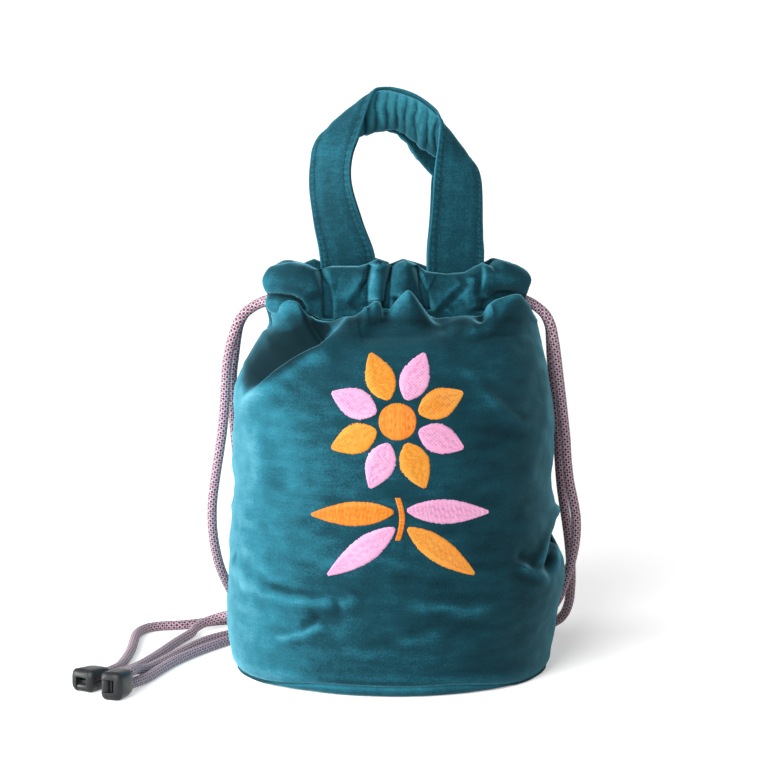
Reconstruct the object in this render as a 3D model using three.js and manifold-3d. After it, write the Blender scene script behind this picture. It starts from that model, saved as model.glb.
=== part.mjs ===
// A standing drawstring bag of velveteen with two top handles, in millimetres.
// The origin is on the ground under the middle of the base, +Z is up and the front faces -Y.

import * as THREE from 'three';
import { mergeVertices } from 'three/addons/utils/BufferGeometryUtils.js';
import Module from 'manifold-3d';

// Fabric and fit
const velvet = 1.4;
const liningCloth = 0.6;
const seatGap = 0.3;
const floorGap = 0.1;

// Body: radii and heights of the round wall, then of the gathered neck
const floorRadius = 90;
const baseSeamRadius = 94.5;
const baseSeamHeight = 6;
const bellyRadius = 101;
const bellyHeight = 42;
const waistRadius = 95.5;
const waistHeight = 150;
const shoulderRadius = 76;
const shoulderHalfStraight = 10;
const shoulderHeight = 190;
const bodyHeight = 210.7;

// The wall as it stands. Across is a share of the belly's radius and height a share of the
// body's; rises and reaches are in millimetres.
const drawnIn = {
  left: [[0, 1], [0.86, 1], [0.95, 0.93], [1, 1]],
  right: [[0, 1], [0.03, 1], [0.12, 0.955], [0.3, 0.96], [0.38, 0.935], [0.5, 0.95], [0.75, 0.975], [1, 1]],
};
const pleatReach = 9;
const frontPleats = [
  { from: [-0.42, 0.945], to: [-0.92, 0.75], rise: 3.5 },
  { from: [-0.8, 0.9], to: [-0.62, 0.98], rise: -3 },
  { from: [0.93, 0.46], to: [0.77, 0.26], rise: -4 },
  { from: [-0.88, 0.28], to: [-0.35, 0.23], rise: 2 },
  { from: [-0.1, 0.22], to: [0.5, 0.21], rise: 1.5 },
];
const backPleats = [
  { from: [-0.6, 0.97], to: [-0.72, 0.6], rise: 3 },
  { from: [-0.38, 0.97], to: [-0.42, 0.72], rise: -3.4 },
  { from: [-0.06, 0.97], to: [-0.08, 0.68], rise: 3 },
  { from: [0.22, 0.97], to: [0.24, 0.72], rise: -3 },
  { from: [0.52, 0.97], to: [0.68, 0.7], rise: 3 },
  { from: [-0.8, 0.41], to: [0.1, 0.35], rise: 1.7 },
  { from: [0.88, 0.48], to: [0.76, 0.32], rise: -2.4 },
];

// Cloth that billows up before the seam: its rise above the seam, along the way across
const frontBillow = [
  [-1, 0], [-0.7, 2], [-0.58, 9], [-0.5, 1], [-0.24, 0], [-0.13, 9.5], [-0.05, 3], [0.06, 15],
  [0.17, 1], [0.44, 0], [0.52, 11], [0.62, 13], [0.72, 8], [0.8, 0], [1, 0],
];
const backBillow = [
  [-1, 0], [-0.75, 0], [-0.63, 9], [-0.53, 9], [-0.45, 0], [-0.37, 0], [-0.2, 11], [-0.06, 0],
  [0.04, 0], [0.13, 8], [0.2, 7], [0.27, 0], [0.36, 0], [0.45, 9], [0.53, 12], [0.62, 5],
  [0.7, 0], [1, 0],
];
const billowOut = 0.55;

// Mouth: a stadium, two straights joined by half circles
const mouthHalfStraight = 46.5;
const mouthEndRadius = 25;
const casingThickness = 16.8;
const casingHeight = 28;
const casingCorner = 4;
const ruffleOut = 3.2;
const ruffleCount = 9;
const slitAngle = 28;

// Base board
const boardThickness = 2;

// Cord and its twisting pair inside the casing
const cordDiameter = 6;
const cordSides = 8;
const pairSpacing = 7;
const pairRise = 2;

// Handles
const strapWidth = 34;
const strapLayer = 1.6;
const strapFold = 0.35;
const foldGap = 0.8;
const footWidth = 30.5;
const footDepth = 25;
const handleRise = 89;
const handleLean = -4;
const handleSpread = 9;
const handleCentre = 2;
const footCentre = 31;
// The strap's way between its feet, as shares of the reach across, of the lean and of the rise
const handleLine = [
  [-0.8375, 0.04, 0.169], [-0.925, 0.1, 0.258], [-0.99, 0.22, 0.382], [-1.01, 0.42, 0.551],
  [-0.985, 0.6, 0.697], [-0.9, 0.74, 0.803], [-0.7625, 0.86, 0.888], [-0.6125, 0.93, 0.944],
  [-0.4625, 0.97, 0.978], [-0.2875, 1, 1], [-0.1125, 1, 1], [0.0625, 0.98, 0.975],
  [0.275, 0.93, 0.921], [0.4375, 0.87, 0.874], [0.5875, 0.8, 0.82], [0.7, 0.7, 0.742],
  [0.775, 0.58, 0.635], [0.8175, 0.42, 0.483], [0.83, 0.25, 0.326], [0.815, 0.1, 0.18],
];
// How far it has turned there out of the arch's plane: share of its length, and degrees
const strapTurn = [
  [0, 0], [0.034, 3], [0.07, 11], [0.11, 24], [0.16, 38], [0.23, 44], [0.29, 47], [0.34, 50],
  [0.385, 58], [0.42, 72], [0.449, 92], [0.474, 116], [0.5, 132], [0.53, 138], [0.56, 134],
  [0.59, 122], [0.622, 100], [0.652, 78], [0.69, 58], [0.74, 44], [0.8, 34], [0.867, 28],
  [0.927, 19], [0.966, 8], [1, 0],
];

// Cord end clips, each for two cords side by side
const clipLength = 18;
const clipWidth = 16;
const clipHeight = 13;
const clipCorner = 3.4;
const clipBoreRadius = 3.25;
const clipBoreSpacing = 7;
const clipBoreDepth = 12;
const clipSplit = 0;
const clipPinRadius = 1;
const clipBoreClearance = 0.2;
const clipTongueWidth = 6.6;
const clipCheekRadius = 2.7;
const clipWindowTop = 2;

// Embroidery: a flower over two leaf sprigs, on the front panel
const stitchHeight = 0.9;
const stitchGap = 0.35;
const flowerHeight = 155;
const flowerPetals = 8;
const petalStart = 12.5;
const petalLength = 27;
const petalHalfWidth = 8.6;
const flowerCentreRadius = 10.5;
const stemHalfWidth = 1.7;
const leafLength = 46;
const leafHalfWidth = 7.2;

// Colours
const TEAL = 0x1f5a66;
const TEAL_DARK = 0x1a4b56;
const LINING = 0x27373f;
const BOARD = 0x2e2e2c;
const CORD = 0xb98fae;
const BLACK = 0x2b2d2f;
const LIGHT_ORANGE = 0xf9a63a;
const DEEP_ORANGE = 0xf08020;
const PINK = 0xf4a8d0;

const degrees = Math.PI / 180;
const bag = new THREE.Group();
const wasm = await Module();
wasm.setup();

function piece(name, geometry, color, roughness = 0.9, parent = bag) {
  const material = new THREE.MeshStandardMaterial({ color, roughness, metalness: 0 });
  const mesh = new THREE.Mesh(geometry, material);
  mesh.name = name;
  parent.add(mesh);
  return mesh;
}

// A geometry from points and triangles, with its faces turned outwards.
function closedGeometry(points, triangles) {
  let volume = 0;
  for (const [a, b, c] of triangles) {
    volume += points[a].dot(new THREE.Vector3().crossVectors(points[b], points[c]));
  }
  const index = triangles.flatMap(([a, b, c]) => (volume > 0 ? [a, b, c] : [a, c, b]));
  const geometry = new THREE.BufferGeometry().setFromPoints(points);
  geometry.setIndex(index);
  geometry.computeVertexNormals();
  return geometry;
}

// A sheet with thickness: pointAt gives a place for u and v from 0 to 1 on face 0 or face 1.
function sheetGeometry(pointAt, uSteps, vSteps) {
  const points = [];
  const triangles = [];
  const at = (face, i, j) => (face * (uSteps + 1) + i) * (vSteps + 1) + j;
  for (const face of [0, 1]) {
    for (let i = 0; i <= uSteps; i++) {
      for (let j = 0; j <= vSteps; j++) {
        points.push(pointAt(i / uSteps, j / vSteps, face));
      }
    }
  }
  const quad = (a, b, c, d) => triangles.push([a, b, c], [a, c, d]);
  for (let i = 0; i < uSteps; i++) {
    for (let j = 0; j < vSteps; j++) {
      quad(at(0, i, j), at(0, i + 1, j), at(0, i + 1, j + 1), at(0, i, j + 1));
      quad(at(1, i, j), at(1, i, j + 1), at(1, i + 1, j + 1), at(1, i + 1, j));
    }
    quad(at(0, i, 0), at(1, i, 0), at(1, i + 1, 0), at(0, i + 1, 0));
    quad(at(0, i, vSteps), at(0, i + 1, vSteps), at(1, i + 1, vSteps), at(1, i, vSteps));
  }
  for (let j = 0; j < vSteps; j++) {
    quad(at(0, 0, j), at(0, 0, j + 1), at(1, 0, j + 1), at(1, 0, j));
    quad(at(0, uSteps, j), at(1, uSteps, j), at(1, uSteps, j + 1), at(0, uSteps, j + 1));
  }
  return closedGeometry(points, triangles);
}

// An open-ended pipe: ringAt gives the corners of the outer or the inner wall at each step.
function pipeGeometry(ringAt, steps, corners) {
  const points = [];
  const triangles = [];
  const at = (wall, i, j) => (wall * (steps + 1) + i) * corners + (j % corners);
  for (const wall of [0, 1]) {
    for (let i = 0; i <= steps; i++) {
      points.push(...ringAt(i / steps, wall));
    }
  }
  const quad = (a, b, c, d) => triangles.push([a, b, c], [a, c, d]);
  for (let j = 0; j < corners; j++) {
    for (let i = 0; i < steps; i++) {
      quad(at(0, i, j), at(0, i + 1, j), at(0, i + 1, j + 1), at(0, i, j + 1));
      quad(at(1, i, j), at(1, i, j + 1), at(1, i + 1, j + 1), at(1, i + 1, j));
    }
    quad(at(0, 0, j), at(0, 0, j + 1), at(1, 0, j + 1), at(1, 0, j));
    quad(at(0, steps, j), at(1, steps, j), at(1, steps, j + 1), at(0, steps, j + 1));
  }
  return closedGeometry(points, triangles);
}

// A round cord along a curve, with straight caps.
function cordGeometry(curve, steps) {
  const section = new THREE.Shape();
  section.absarc(0, 0, cordDiameter / 2, 0, 2 * Math.PI, false);
  const settings = { steps, curveSegments: cordSides / 2, extrudePath: curve, bevelEnabled: false };
  return new THREE.ExtrudeGeometry(section, settings);
}

function toSolid(geometry) {
  const bare = geometry.clone();
  bare.deleteAttribute('normal');
  bare.deleteAttribute('uv');
  const merged = mergeVertices(bare, 1e-4);
  const vertProperties = new Float32Array(merged.attributes.position.array);
  const triVerts = new Uint32Array(merged.index.array);
  return new wasm.Manifold(new wasm.Mesh({ numProp: 3, vertProperties, triVerts }));
}

function toGeometry(solid) {
  const mesh = solid.getMesh();
  const geometry = new THREE.BufferGeometry();
  geometry.setAttribute('position', new THREE.BufferAttribute(mesh.vertProperties, 3));
  geometry.setIndex(new THREE.BufferAttribute(mesh.triVerts, 1));
  geometry.computeVertexNormals();
  return geometry;
}

// The share of the wall's profile where the cloth starts to billow
const billowFrom = 0.82;

// The wall's profile: end radius, half straight and height, from the base seam to the neck.
const neckRadius = mouthEndRadius + casingThickness / 2 - 2;
const neckHalfStraight = mouthHalfStraight - 1;
const wallProfile = new THREE.CatmullRomCurve3([
  new THREE.Vector3(baseSeamRadius, 0, baseSeamHeight + seatGap),
  new THREE.Vector3(bellyRadius, 0, bellyHeight),
  new THREE.Vector3((bellyRadius + waistRadius) / 2 - 0.6, 0, (bellyHeight + waistHeight) / 2),
  new THREE.Vector3(waistRadius, 0, waistHeight),
  new THREE.Vector3(shoulderRadius, shoulderHalfStraight, shoulderHeight),
  new THREE.Vector3(neckRadius, neckHalfStraight, bodyHeight),
], false, 'centripetal');

// A place on a stadium outline: t runs from -1 at the left end, by the front, to 1 at the right.
function stadiumPoint(t, radius, halfStraight, side) {
  const quarter = radius * Math.PI / 2 + halfStraight;
  const along = Math.abs(t) * quarter;
  const turn = Math.max(0, (along - halfStraight) / radius);
  const x = Math.min(along, halfStraight) + radius * Math.sin(turn);
  return [Math.sign(t) * x, side * radius * Math.cos(turn)];
}

// The value at x on a line through [x, value] pairs
function lineAt(pairs, x) {
  const next = pairs.findIndex(([at]) => at >= x);
  if (next < 1) return pairs[next < 0 ? pairs.length - 1 : 0][1];
  const [[x0, y0], [x1, y1]] = [pairs[next - 1], pairs[next]];
  return y0 + (y1 - y0) * (x - x0) / (x1 - x0);
}

const drawnAt = (x, z) => lineAt(x > 0 ? drawnIn.right : drawnIn.left, z / bodyHeight);

// How far the pleats lift the wall at a place across it and above the floor
function pleatLift(x, z, side) {
  const at = new THREE.Vector2(x, z);
  let lift = 0;
  for (const { from, to, rise } of side < 0 ? frontPleats : backPleats) {
    const start = new THREE.Vector2(from[0] * bellyRadius, from[1] * bodyHeight);
    const way = new THREE.Vector2(to[0] * bellyRadius, to[1] * bodyHeight).sub(start);
    const share = THREE.MathUtils.clamp(at.clone().sub(start).dot(way) / way.lengthSq(), 0, 1);
    const away = at.distanceTo(start.addScaledVector(way, share));
    lift += rise * Math.exp(-((away / pleatReach) ** 2));
  }
  return lift;
}

// A place on the wall, pushed inwards along the wall's own normal by depth.
function wallPoint(t, v, side, depth) {
  const surface = (a, b) => {
    const p = wallProfile.getPoint(b);
    const [x, y] = stadiumPoint(a, p.x, Math.max(0, p.y), side);
    return new THREE.Vector3(x * drawnAt(x, p.z), y, p.z);
  };
  const small = 1e-3;
  const v0 = Math.min(Math.max(v, small), 1 - small);
  const across = surface(t + small, v0).sub(surface(t - small, v0));
  const up = surface(t, v0 + small).sub(surface(t, v0 - small));
  const inward = new THREE.Vector3().crossVectors(up, across).normalize().multiplyScalar(-side);
  const place = surface(t, v);
  const held = Math.min(1, 12 * v, 12 * (1 - v), 8 * (1 - Math.abs(t)));
  const lift = held * pleatLift(place.x, place.z, side);
  const past = THREE.MathUtils.clamp((v - billowFrom) / (1 - billowFrom), 0, 1);
  const billow = lineAt(side < 0 ? frontBillow : backBillow, place.x / bellyRadius)
    * Math.sin(Math.PI * past ** 1.3) * Math.min(1, 4 * (1 - past));
  place.addScaledVector(inward, depth - lift);
  const spine = THREE.MathUtils.clamp(place.x, -mouthHalfStraight, mouthHalfStraight);
  const outward = new THREE.Vector3(place.x - spine, place.y, 0).normalize();
  return place.addScaledVector(outward, billowOut * billow).setZ(place.z + billow);
}

const seamGapTurn = seatGap / bellyRadius;
const wallSteps = 28;
const plainSteps = 12;
const billowRows = [0, 0.3, 0.55, 0.75, 0.92, 1];

// Rows are even up to the billow, then closer together
function wallPanel(side, outerDepth, thickness) {
  const steps = plainSteps + billowRows.length - 1;
  return sheetGeometry((u, row, face) => {
    const t = (2 * u - 1) * (1 - seamGapTurn);
    const past = Math.round(row * steps) - plainSteps;
    const v = past <= 0 ? billowFrom * (1 + past / plainSteps)
      : billowFrom + (1 - billowFrom) * billowRows[past];
    const place = wallPoint(t, v, side, outerDepth + face * thickness);
    place.y = side * Math.max(side * place.y, seatGap / 2);
    return place;
  }, wallSteps, steps);
}

piece('body_front_panel', wallPanel(-1, 0, velvet), TEAL);
piece('body_back_panel', wallPanel(1, 0, velvet), TEAL);
const liningDepth = velvet + seatGap;
piece('lining_front_panel', wallPanel(-1, liningDepth, liningCloth), LINING, 0.7);
piece('lining_back_panel', wallPanel(1, liningDepth, liningCloth), LINING, 0.7);

// Round pieces of the base: a dished panel, a flat board and the lining's floor
function lathed(outline, segments) {
  const points = outline.map(([r, z]) => new THREE.Vector2(r, z));
  const geometry = new THREE.LatheGeometry(points, segments);
  geometry.rotateX(Math.PI / 2);
  return geometry;
}

const rise = baseSeamHeight;
const turnUp = baseSeamRadius - floorRadius;
piece('base_panel', lathed([
  [0, 0],
  [floorRadius, 0],
  [floorRadius + turnUp * 0.7, rise * 0.35],
  [baseSeamRadius, rise],
  [baseSeamRadius - velvet, rise],
  [floorRadius + turnUp * 0.7 - velvet, rise * 0.35 + velvet * 0.7],
  [floorRadius - velvet * 0.6, velvet],
  [0, velvet],
], 48), TEAL);

const boardRadius = floorRadius - velvet;
const boardFloor = velvet + seatGap;
piece('base_board', lathed([
  [0, boardFloor],
  [boardRadius, boardFloor],
  [boardRadius, boardFloor + boardThickness],
  [0, boardFloor + boardThickness],
], 48), BOARD, 0.8);

const liningFloor = boardFloor + boardThickness + seatGap;
piece('lining_base_panel', lathed([
  [0, liningFloor],
  [boardRadius, liningFloor],
  [boardRadius, liningFloor + liningCloth],
  [0, liningFloor + liningCloth],
], 48), LINING, 0.7);

// Casing: two half channels round the mouth, open at the side slits
const casingFloor = bodyHeight + seatGap;
const casingMiddle = casingFloor + casingHeight / 2;
const slitTurn = (90 - slitAngle) * degrees;
const casingQuarter = mouthHalfStraight + mouthEndRadius * slitTurn;

// The channel's centre line: distance from the front middle gives a place and its outward way.
function mouthPlace(distance, side) {
  const along = Math.abs(distance);
  const turn = Math.max(0, (along - mouthHalfStraight) / mouthEndRadius);
  const sign = Math.sign(distance);
  const outward = new THREE.Vector3(sign * Math.sin(turn), side * Math.cos(turn), 0);
  const x = sign * Math.min(along, mouthHalfStraight);
  return { place: outward.clone().multiplyScalar(mouthEndRadius).add(new THREE.Vector3(x, 0, 0)), outward };
}

function casingSection(wall) {
  const w = casingThickness / 2 - wall * velvet;
  const h = casingHeight / 2 - wall * velvet;
  const c = casingCorner - wall * velvet * 0.6;
  return [[w, c - h], [w, h - c], [w - c, h], [c - w, h], [-w, h - c], [-w, c - h], [c - w, -h], [w - c, -h]];
}

// Each gather swells the channel's outer wall and top, and the seams between them stay drawn in.
function casingHalf(side) {
  return pipeGeometry((t, wall) => {
    const { place, outward } = mouthPlace((2 * t - 1) * casingQuarter, side);
    const swell = ruffleOut * Math.sin(Math.PI * ruffleCount * t) ** 2;
    return casingSection(wall).map(([out, up]) => place.clone()
      .addScaledVector(outward, out > 0 ? out + swell : out)
      .setZ(casingMiddle + up));
  }, 4 * ruffleCount, 8);
}

piece('casing_front', casingHalf(-1), TEAL);
piece('casing_back', casingHalf(1), TEAL);

// The drawstrings inside the casing: a pair that turns half round each other on each side
const pairFloor = casingFloor + velvet + cordDiameter / 2 + pairRise;

class HeldStretch extends THREE.Curve {
  constructor(homeSign) {
    super();
    this.home = homeSign;
    this.half = mouthHalfStraight + mouthEndRadius * Math.PI / 2;
    this.cut = this.half - casingQuarter;
  }

  getPoint(t) {
    const start = this.cut + seatGap;
    const walked = start + t * (4 * this.half - 2 * start);
    const side = walked < 2 * this.half ? -1 : 1;
    const fromHome = walked < 2 * this.half ? walked : 4 * this.half - walked;
    const { place, outward } = mouthPlace(this.home * (this.half - fromHome), side);
    const swing = Math.PI * THREE.MathUtils.smoothstep(fromHome, 0, 2 * this.half);
    const lane = pairSpacing / 2 * Math.cos(swing);
    const lift = this.home < 0 ? pairSpacing * Math.sin(swing) : 0;
    return place.addScaledVector(outward, lane).setZ(pairFloor + lift);
  }
}

piece('drawstring_left_held', cordGeometry(new HeldStretch(-1), 32), CORD, 0.8);
piece('drawstring_right_held', cordGeometry(new HeldStretch(1), 32), CORD, 0.8);

// Where a free strand starts: the mouth of its channel, in the outer lane
function strandStart(sideX, sideY) {
  const { place, outward } = mouthPlace(sideX * casingQuarter, sideY);
  const onward = new THREE.Vector3(sideX * Math.abs(outward.y), -sideY * Math.abs(outward.x), 0);
  const start = place.addScaledVector(outward, pairSpacing / 2).setZ(pairFloor);
  return [start, start.clone().addScaledVector(onward, cordDiameter / 2)];
}

// A clip's group, from its centre, its turn about Z and its roll about the way to the cords
function clipGroup(centre, turn, roll) {
  const group = new THREE.Group();
  group.position.set(...centre);
  group.rotation.set(roll * degrees, 0, turn * degrees, 'ZYX');
  group.updateMatrixWorld(true);
  bag.add(group);
  return group;
}

// Clip A lies flat and clip B stands on its edge
const clips = {
  a: clipGroup([-173, -70, clipHeight / 2 + floorGap], 55, 0),
  b: clipGroup([-156, -91, clipWidth / 2 + floorGap], 70, 90),
};

// A place in a clip's bore, from its lane and its distance past the middle
function inClip(clip, lane, along) {
  return clip.localToWorld(new THREE.Vector3(along, lane * clipBoreSpacing / 2, 0));
}

// Free strands: hand-chosen places down the side, behind the bag and along the floor
const onFloor = cordDiameter / 2 + floorGap;
const boreBottom = clipLength / 2 - clipBoreDepth + seatGap;

const leftFrontRoute = [
  [-75.2, -8.1, 217], [-78.6, -5.7, 216], [-83.4, -4.5, 213.8], [-88.9, -4.6, 209.7],
  [-92.8, -4.9, 204.6], [-95.6, -3.6, 197.4], [-98.2, -0.2, 189], [-100.2, 4, 179], [-101.4, 9, 167],
  [-102.6, 14.5, 153], [-104.2, 20, 139], [-106.6, 25, 124], [-109.4, 30, 108],
  [-111.6, 35, 93], [-112.3, 41, 78], [-111.2, 48, 63], [-108.6, 55.5, 49],
  [-104.4, 65, 36], [-99.8, 76.7, 24.3], [-96.9, 88.2, 16.2], [-101.6, 98, 12.2],
  [-110.8, 102, 9.2], [-119.8, 99.2, 6.7], [-126.7, 88.6, 4.5], [-128.4, 76.3, 3.6],
  [-132.6, 62, onFloor],
  [-136.6, 45, onFloor], [-141.2, 22, onFloor], [-146, 0, onFloor], [-151.6, -23, 3.4],
  [-156, -42, 5],
];

const leftRearRoute = [
  [-75.3, 8, 217], [-78.9, 5.3, 215.9], [-83.6, 4.1, 213.6], [-89, 5.1, 209.5],
  [-92.9, 8.6, 203.2], [-95, 12.9, 194.6], [-96.5, 16.4, 184.4], [-98.2, 21, 172.5],
  [-98.6, 27, 158], [-98.2, 34, 142], [-97.2, 41, 125], [-96.3, 49, 107], [-95.6, 57, 88],
  [-94.8, 65, 70], [-93.4, 73.5, 52], [-91.2, 81.5, 36.5], [-88.6, 90.5, 23.5],
  [-86, 101.4, 14], [-88, 112.4, 7.8], [-95.6, 120.8, 4.2], [-107, 122.6, onFloor],
  [-118.4, 117.6, onFloor], [-128.6, 109.6, onFloor], [-138.8, 104.6, onFloor],
  [-149, 102, onFloor], [-157.4, 95.8, onFloor], [-161.4, 85.4, onFloor],
  [-162.8, 71, onFloor], [-162.2, 55, onFloor],
  [-161, 24, onFloor], [-161.4, -3, onFloor], [-162.6, -28, 4],
];

const rightFrontRoute = [
  [75.2, -8.1, 216.9], [78.3, -5.6, 215.7], [82.4, -4.2, 213.2], [87.3, -4.2, 208.7],
  [90.4, -4.2, 202.4], [92.4, -2, 194], [94.2, 2, 184], [96, 6.6, 172], [97.8, 11, 160],
  [99.6, 15, 147], [101.4, 19, 133], [102.6, 22.4, 119], [104.4, 25.4, 106],
  [107, 28, 94.5], [109, 31, 83], [109.2, 35, 70.5], [107.4, 41, 56.5], [104.4, 48, 43],
  [100.8, 56.5, 30], [95, 67, 19], [86, 78.5, 10.8], [72, 89.5, 5.5], [50, 100, 3.3],
  [20, 106.5, onFloor], [-15, 107, onFloor], [-50, 98.5, onFloor], [-77, 84, onFloor],
  [-93, 69.5, onFloor], [-103.5, 55.5, onFloor], [-113.5, 37, onFloor], [-124, 14, onFloor],
  [-133, -11, onFloor], [-139, -34, onFloor], [-143.6, -53, 3.2],
];

const rightRearRoute = [
  [75.2, 8, 216.9], [78.4, 5.3, 215.6], [82.6, 3.9, 213], [87.4, 4.4, 208.4],
  [90.6, 8.2, 201.4], [91.8, 13.8, 192.2], [92.6, 18.8, 182.6], [94, 23.4, 171], [95.8, 28, 157],
  [97.4, 33, 142], [98.6, 37.6, 127], [99.8, 41.6, 112], [101.4, 45, 98], [103.6, 48.6, 85],
  [105.8, 52.6, 72], [107.6, 57.4, 59], [108.8, 63.4, 46], [109.2, 70.2, 33.5],
  [108.6, 78, 22], [105.4, 86.4, 12.4], [98.6, 94.4, 6.2], [87.6, 101.4, 3.4],
  [70, 108, onFloor], [45, 114, onFloor], [15, 117, onFloor], [-15, 116.5, onFloor],
  [-48, 110, onFloor], [-76, 98, onFloor], [-94.5, 85, onFloor], [-107, 71, onFloor],
  [-118.5, 52.5, onFloor], [-129.5, 22, onFloor], [-136.4, 0, onFloor], [-142.6, -21, 3.3],
  [-147, -40, 5.2], [-149.3, -57, 9],
];

function strandCurve(sideX, sideY, route, clip, lane) {
  const places = [
    ...strandStart(sideX, sideY),
    ...route.map(([x, y, z]) => new THREE.Vector3(x, y, z)),
    inClip(clip, lane, clipLength / 2 + cordDiameter),
    inClip(clip, lane, clipLength / 2),
    inClip(clip, lane, boreBottom),
  ];
  return new THREE.CatmullRomCurve3(places, false, 'centripetal');
}

piece('left_front_strand', cordGeometry(strandCurve(-1, -1, leftFrontRoute, clips.a, -1), 36), CORD, 0.8);
piece('left_rear_strand', cordGeometry(strandCurve(-1, 1, leftRearRoute, clips.a, 1), 38), CORD, 0.8);
piece('right_front_strand', cordGeometry(strandCurve(1, -1, rightFrontRoute, clips.b, -1), 44), CORD, 0.8);
piece('right_rear_strand', cordGeometry(strandCurve(1, 1, rightRearRoute, clips.b, 1), 46), CORD, 0.8);

// Handles: an arch whose strap faces out at the feet and turns over on top
const strapFloor = casingFloor + casingHeight;
const footFace = mouthEndRadius - casingThickness / 2 - seatGap - strapLayer;

function handlePath(side) {
  const x = (share) => handleCentre + share * (footCentre + handleSpread);
  const y = (share) => side * (footFace - share * handleLean);
  const z = (share) => strapFloor + share * handleRise;
  const places = [
    [handleCentre - footCentre, y(0), z(0)],
    [handleCentre - footCentre, y(0), z(0.08)],
    ...handleLine.map(([across, lean, up]) => [x(across), y(lean), z(up)]),
    [handleCentre + footCentre, y(0), z(0.08)],
    [handleCentre + footCentre, y(0), z(0)],
  ].map((place) => new THREE.Vector3(...place));
  return new THREE.CatmullRomCurve3(places, false, 'centripetal');
}

// The strap's frame at t: along it, across it and through it
function handleFrame(path, t, side) {
  const along = path.getTangentAt(t);
  const turn = lineAt(strapTurn, t) * degrees;
  const outward = new THREE.Vector3(-along.z, 0, along.x).normalize().multiplyScalar(Math.cos(turn));
  const across = outward.add(new THREE.Vector3(0, -side * Math.sin(turn), 0));
  across.addScaledVector(along, -across.dot(along)).normalize();
  const through = new THREE.Vector3().crossVectors(along, across).multiplyScalar(-side);
  return { place: path.getPointAt(t), across, through };
}

function strapLayerGeometry(side, near, far) {
  const path = handlePath(side);
  return sheetGeometry((u, v, face) => {
    const { place, across, through } = handleFrame(path, u, side);
    const fromFoot = Math.min(1, 10 * Math.min(u, 1 - u));
    const width = THREE.MathUtils.lerp(footWidth, strapWidth, fromFoot);
    const outside = near + (far - near) * THREE.MathUtils.lerp(strapFold / strapLayer, 1, fromFoot);
    return place.addScaledVector(across, (v - 0.5) * width)
      .addScaledVector(through, face ? outside : near);
  }, 40, 2);
}

const layerGap = seatGap / 2;
for (const [name, side] of [['front', -1], ['rear', 1]]) {
  const outer = strapLayerGeometry(side, layerGap, layerGap + strapLayer);
  const inner = strapLayerGeometry(side, -layerGap, -layerGap - strapLayer);
  piece(`${name}_handle_outer`, outer, TEAL);
  piece(`${name}_handle_inner`, inner, TEAL_DARK);
  for (const [foot, sign] of [['left', -1], ['right', 1]]) {
    const slab = new THREE.BoxGeometry(footWidth, 2 * strapLayer, footDepth);
    const mesh = piece(`${name}_handle_${foot}_foot`, slab, TEAL);
    const x = handleCentre + sign * footCentre;
    mesh.position.set(x, side * footFace, strapFloor - foldGap - footDepth / 2);
  }
}

// Clips: a lofted shell split by a level plane, with two bores and a hinge at the round end
function clipRing(x, shrink) {
  const w = clipWidth / 2 - shrink;
  const h = clipHeight / 2 - shrink;
  const c = clipCorner;
  const ring = [];
  for (const [sx, sy, start] of [[1, 1, 0], [-1, 1, 90], [-1, -1, 180], [1, -1, 270]]) {
    for (const turn of [0, 30, 60, 90]) {
      const a = (start + turn) * degrees;
      ring.push(new THREE.Vector3(x, sx * (w - c) + c * Math.cos(a), sy * (h - c) + c * Math.sin(a)));
    }
  }
  return ring;
}

function loftSolid(rings) {
  const count = rings[0].length;
  const points = rings.flat();
  const triangles = [];
  for (let i = 0; i < rings.length - 1; i++) {
    for (let j = 0; j < count; j++) {
      const k = (j + 1) % count;
      triangles.push([i * count + j, (i + 1) * count + j, (i + 1) * count + k]);
      triangles.push([i * count + j, (i + 1) * count + k, i * count + k]);
    }
  }
  const last = (rings.length - 1) * count;
  for (let j = 1; j < count - 1; j++) {
    triangles.push([0, j, j + 1]);
    triangles.push([last, last + j + 1, last + j]);
  }
  return toSolid(closedGeometry(points, triangles));
}

function block(x0, x1, y0, y1, z0, z1) {
  const geometry = new THREE.BoxGeometry(x1 - x0, y1 - y0, z1 - z0);
  geometry.translate((x0 + x1) / 2, (y0 + y1) / 2, (z0 + z1) / 2);
  return toSolid(geometry);
}

// A round bar along X or Y
function bar(radius, from, to, x, y, z, alongX) {
  const geometry = new THREE.CylinderGeometry(radius, radius, to - from, 16);
  geometry.translate(0, (from + to) / 2, 0);
  if (alongX) geometry.rotateZ(-Math.PI / 2);
  geometry.translate(x, y, z);
  return toSolid(geometry);
}

const tip = -clipLength / 2;
const hingeX = tip + clipCheekRadius;
const hingeZ = -clipHeight / 2 + clipCheekRadius;
const reach = clipLength + clipWidth;
const tongueHalf = clipTongueWidth / 2;
const windowHalf = tongueHalf + seatGap;

const clipHull = loftSolid([
  clipRing(tip, 2),
  clipRing(tip + 0.8, 0.8),
  clipRing(tip + 2.2, 0),
  clipRing(clipLength / 2 - 5, 0.3),
  clipRing(clipLength / 2 - 1, 0.9),
  clipRing(clipLength / 2, 1.6),
]);
const clipBores = [-1, 1].map((lane) => bar(
  clipBoreRadius, clipLength / 2 - clipBoreDepth, reach, 0, lane * clipBoreSpacing / 2, 0, true,
)).reduce((a, b) => a.add(b));
const hollowHull = clipHull.subtract(clipBores);

// The side cheeks' space round the hinge, which the base keeps clear of
const cheekReach = clipCheekRadius + seatGap;
const behindHinge = block(-reach, hingeX, -reach, reach, -reach, reach);
const belowHinge = block(-reach, reach, -reach, reach, -reach, hingeZ);
const cheekRound = bar(clipCheekRadius, -reach, reach, hingeX, 0, hingeZ, false);
const cheekClear = bar(cheekReach, -reach, reach, hingeX, 0, hingeZ, false);
const tongueSlot = block(-reach, hingeX + cheekReach, -windowHalf, windowHalf, -reach, clipWindowTop);

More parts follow.
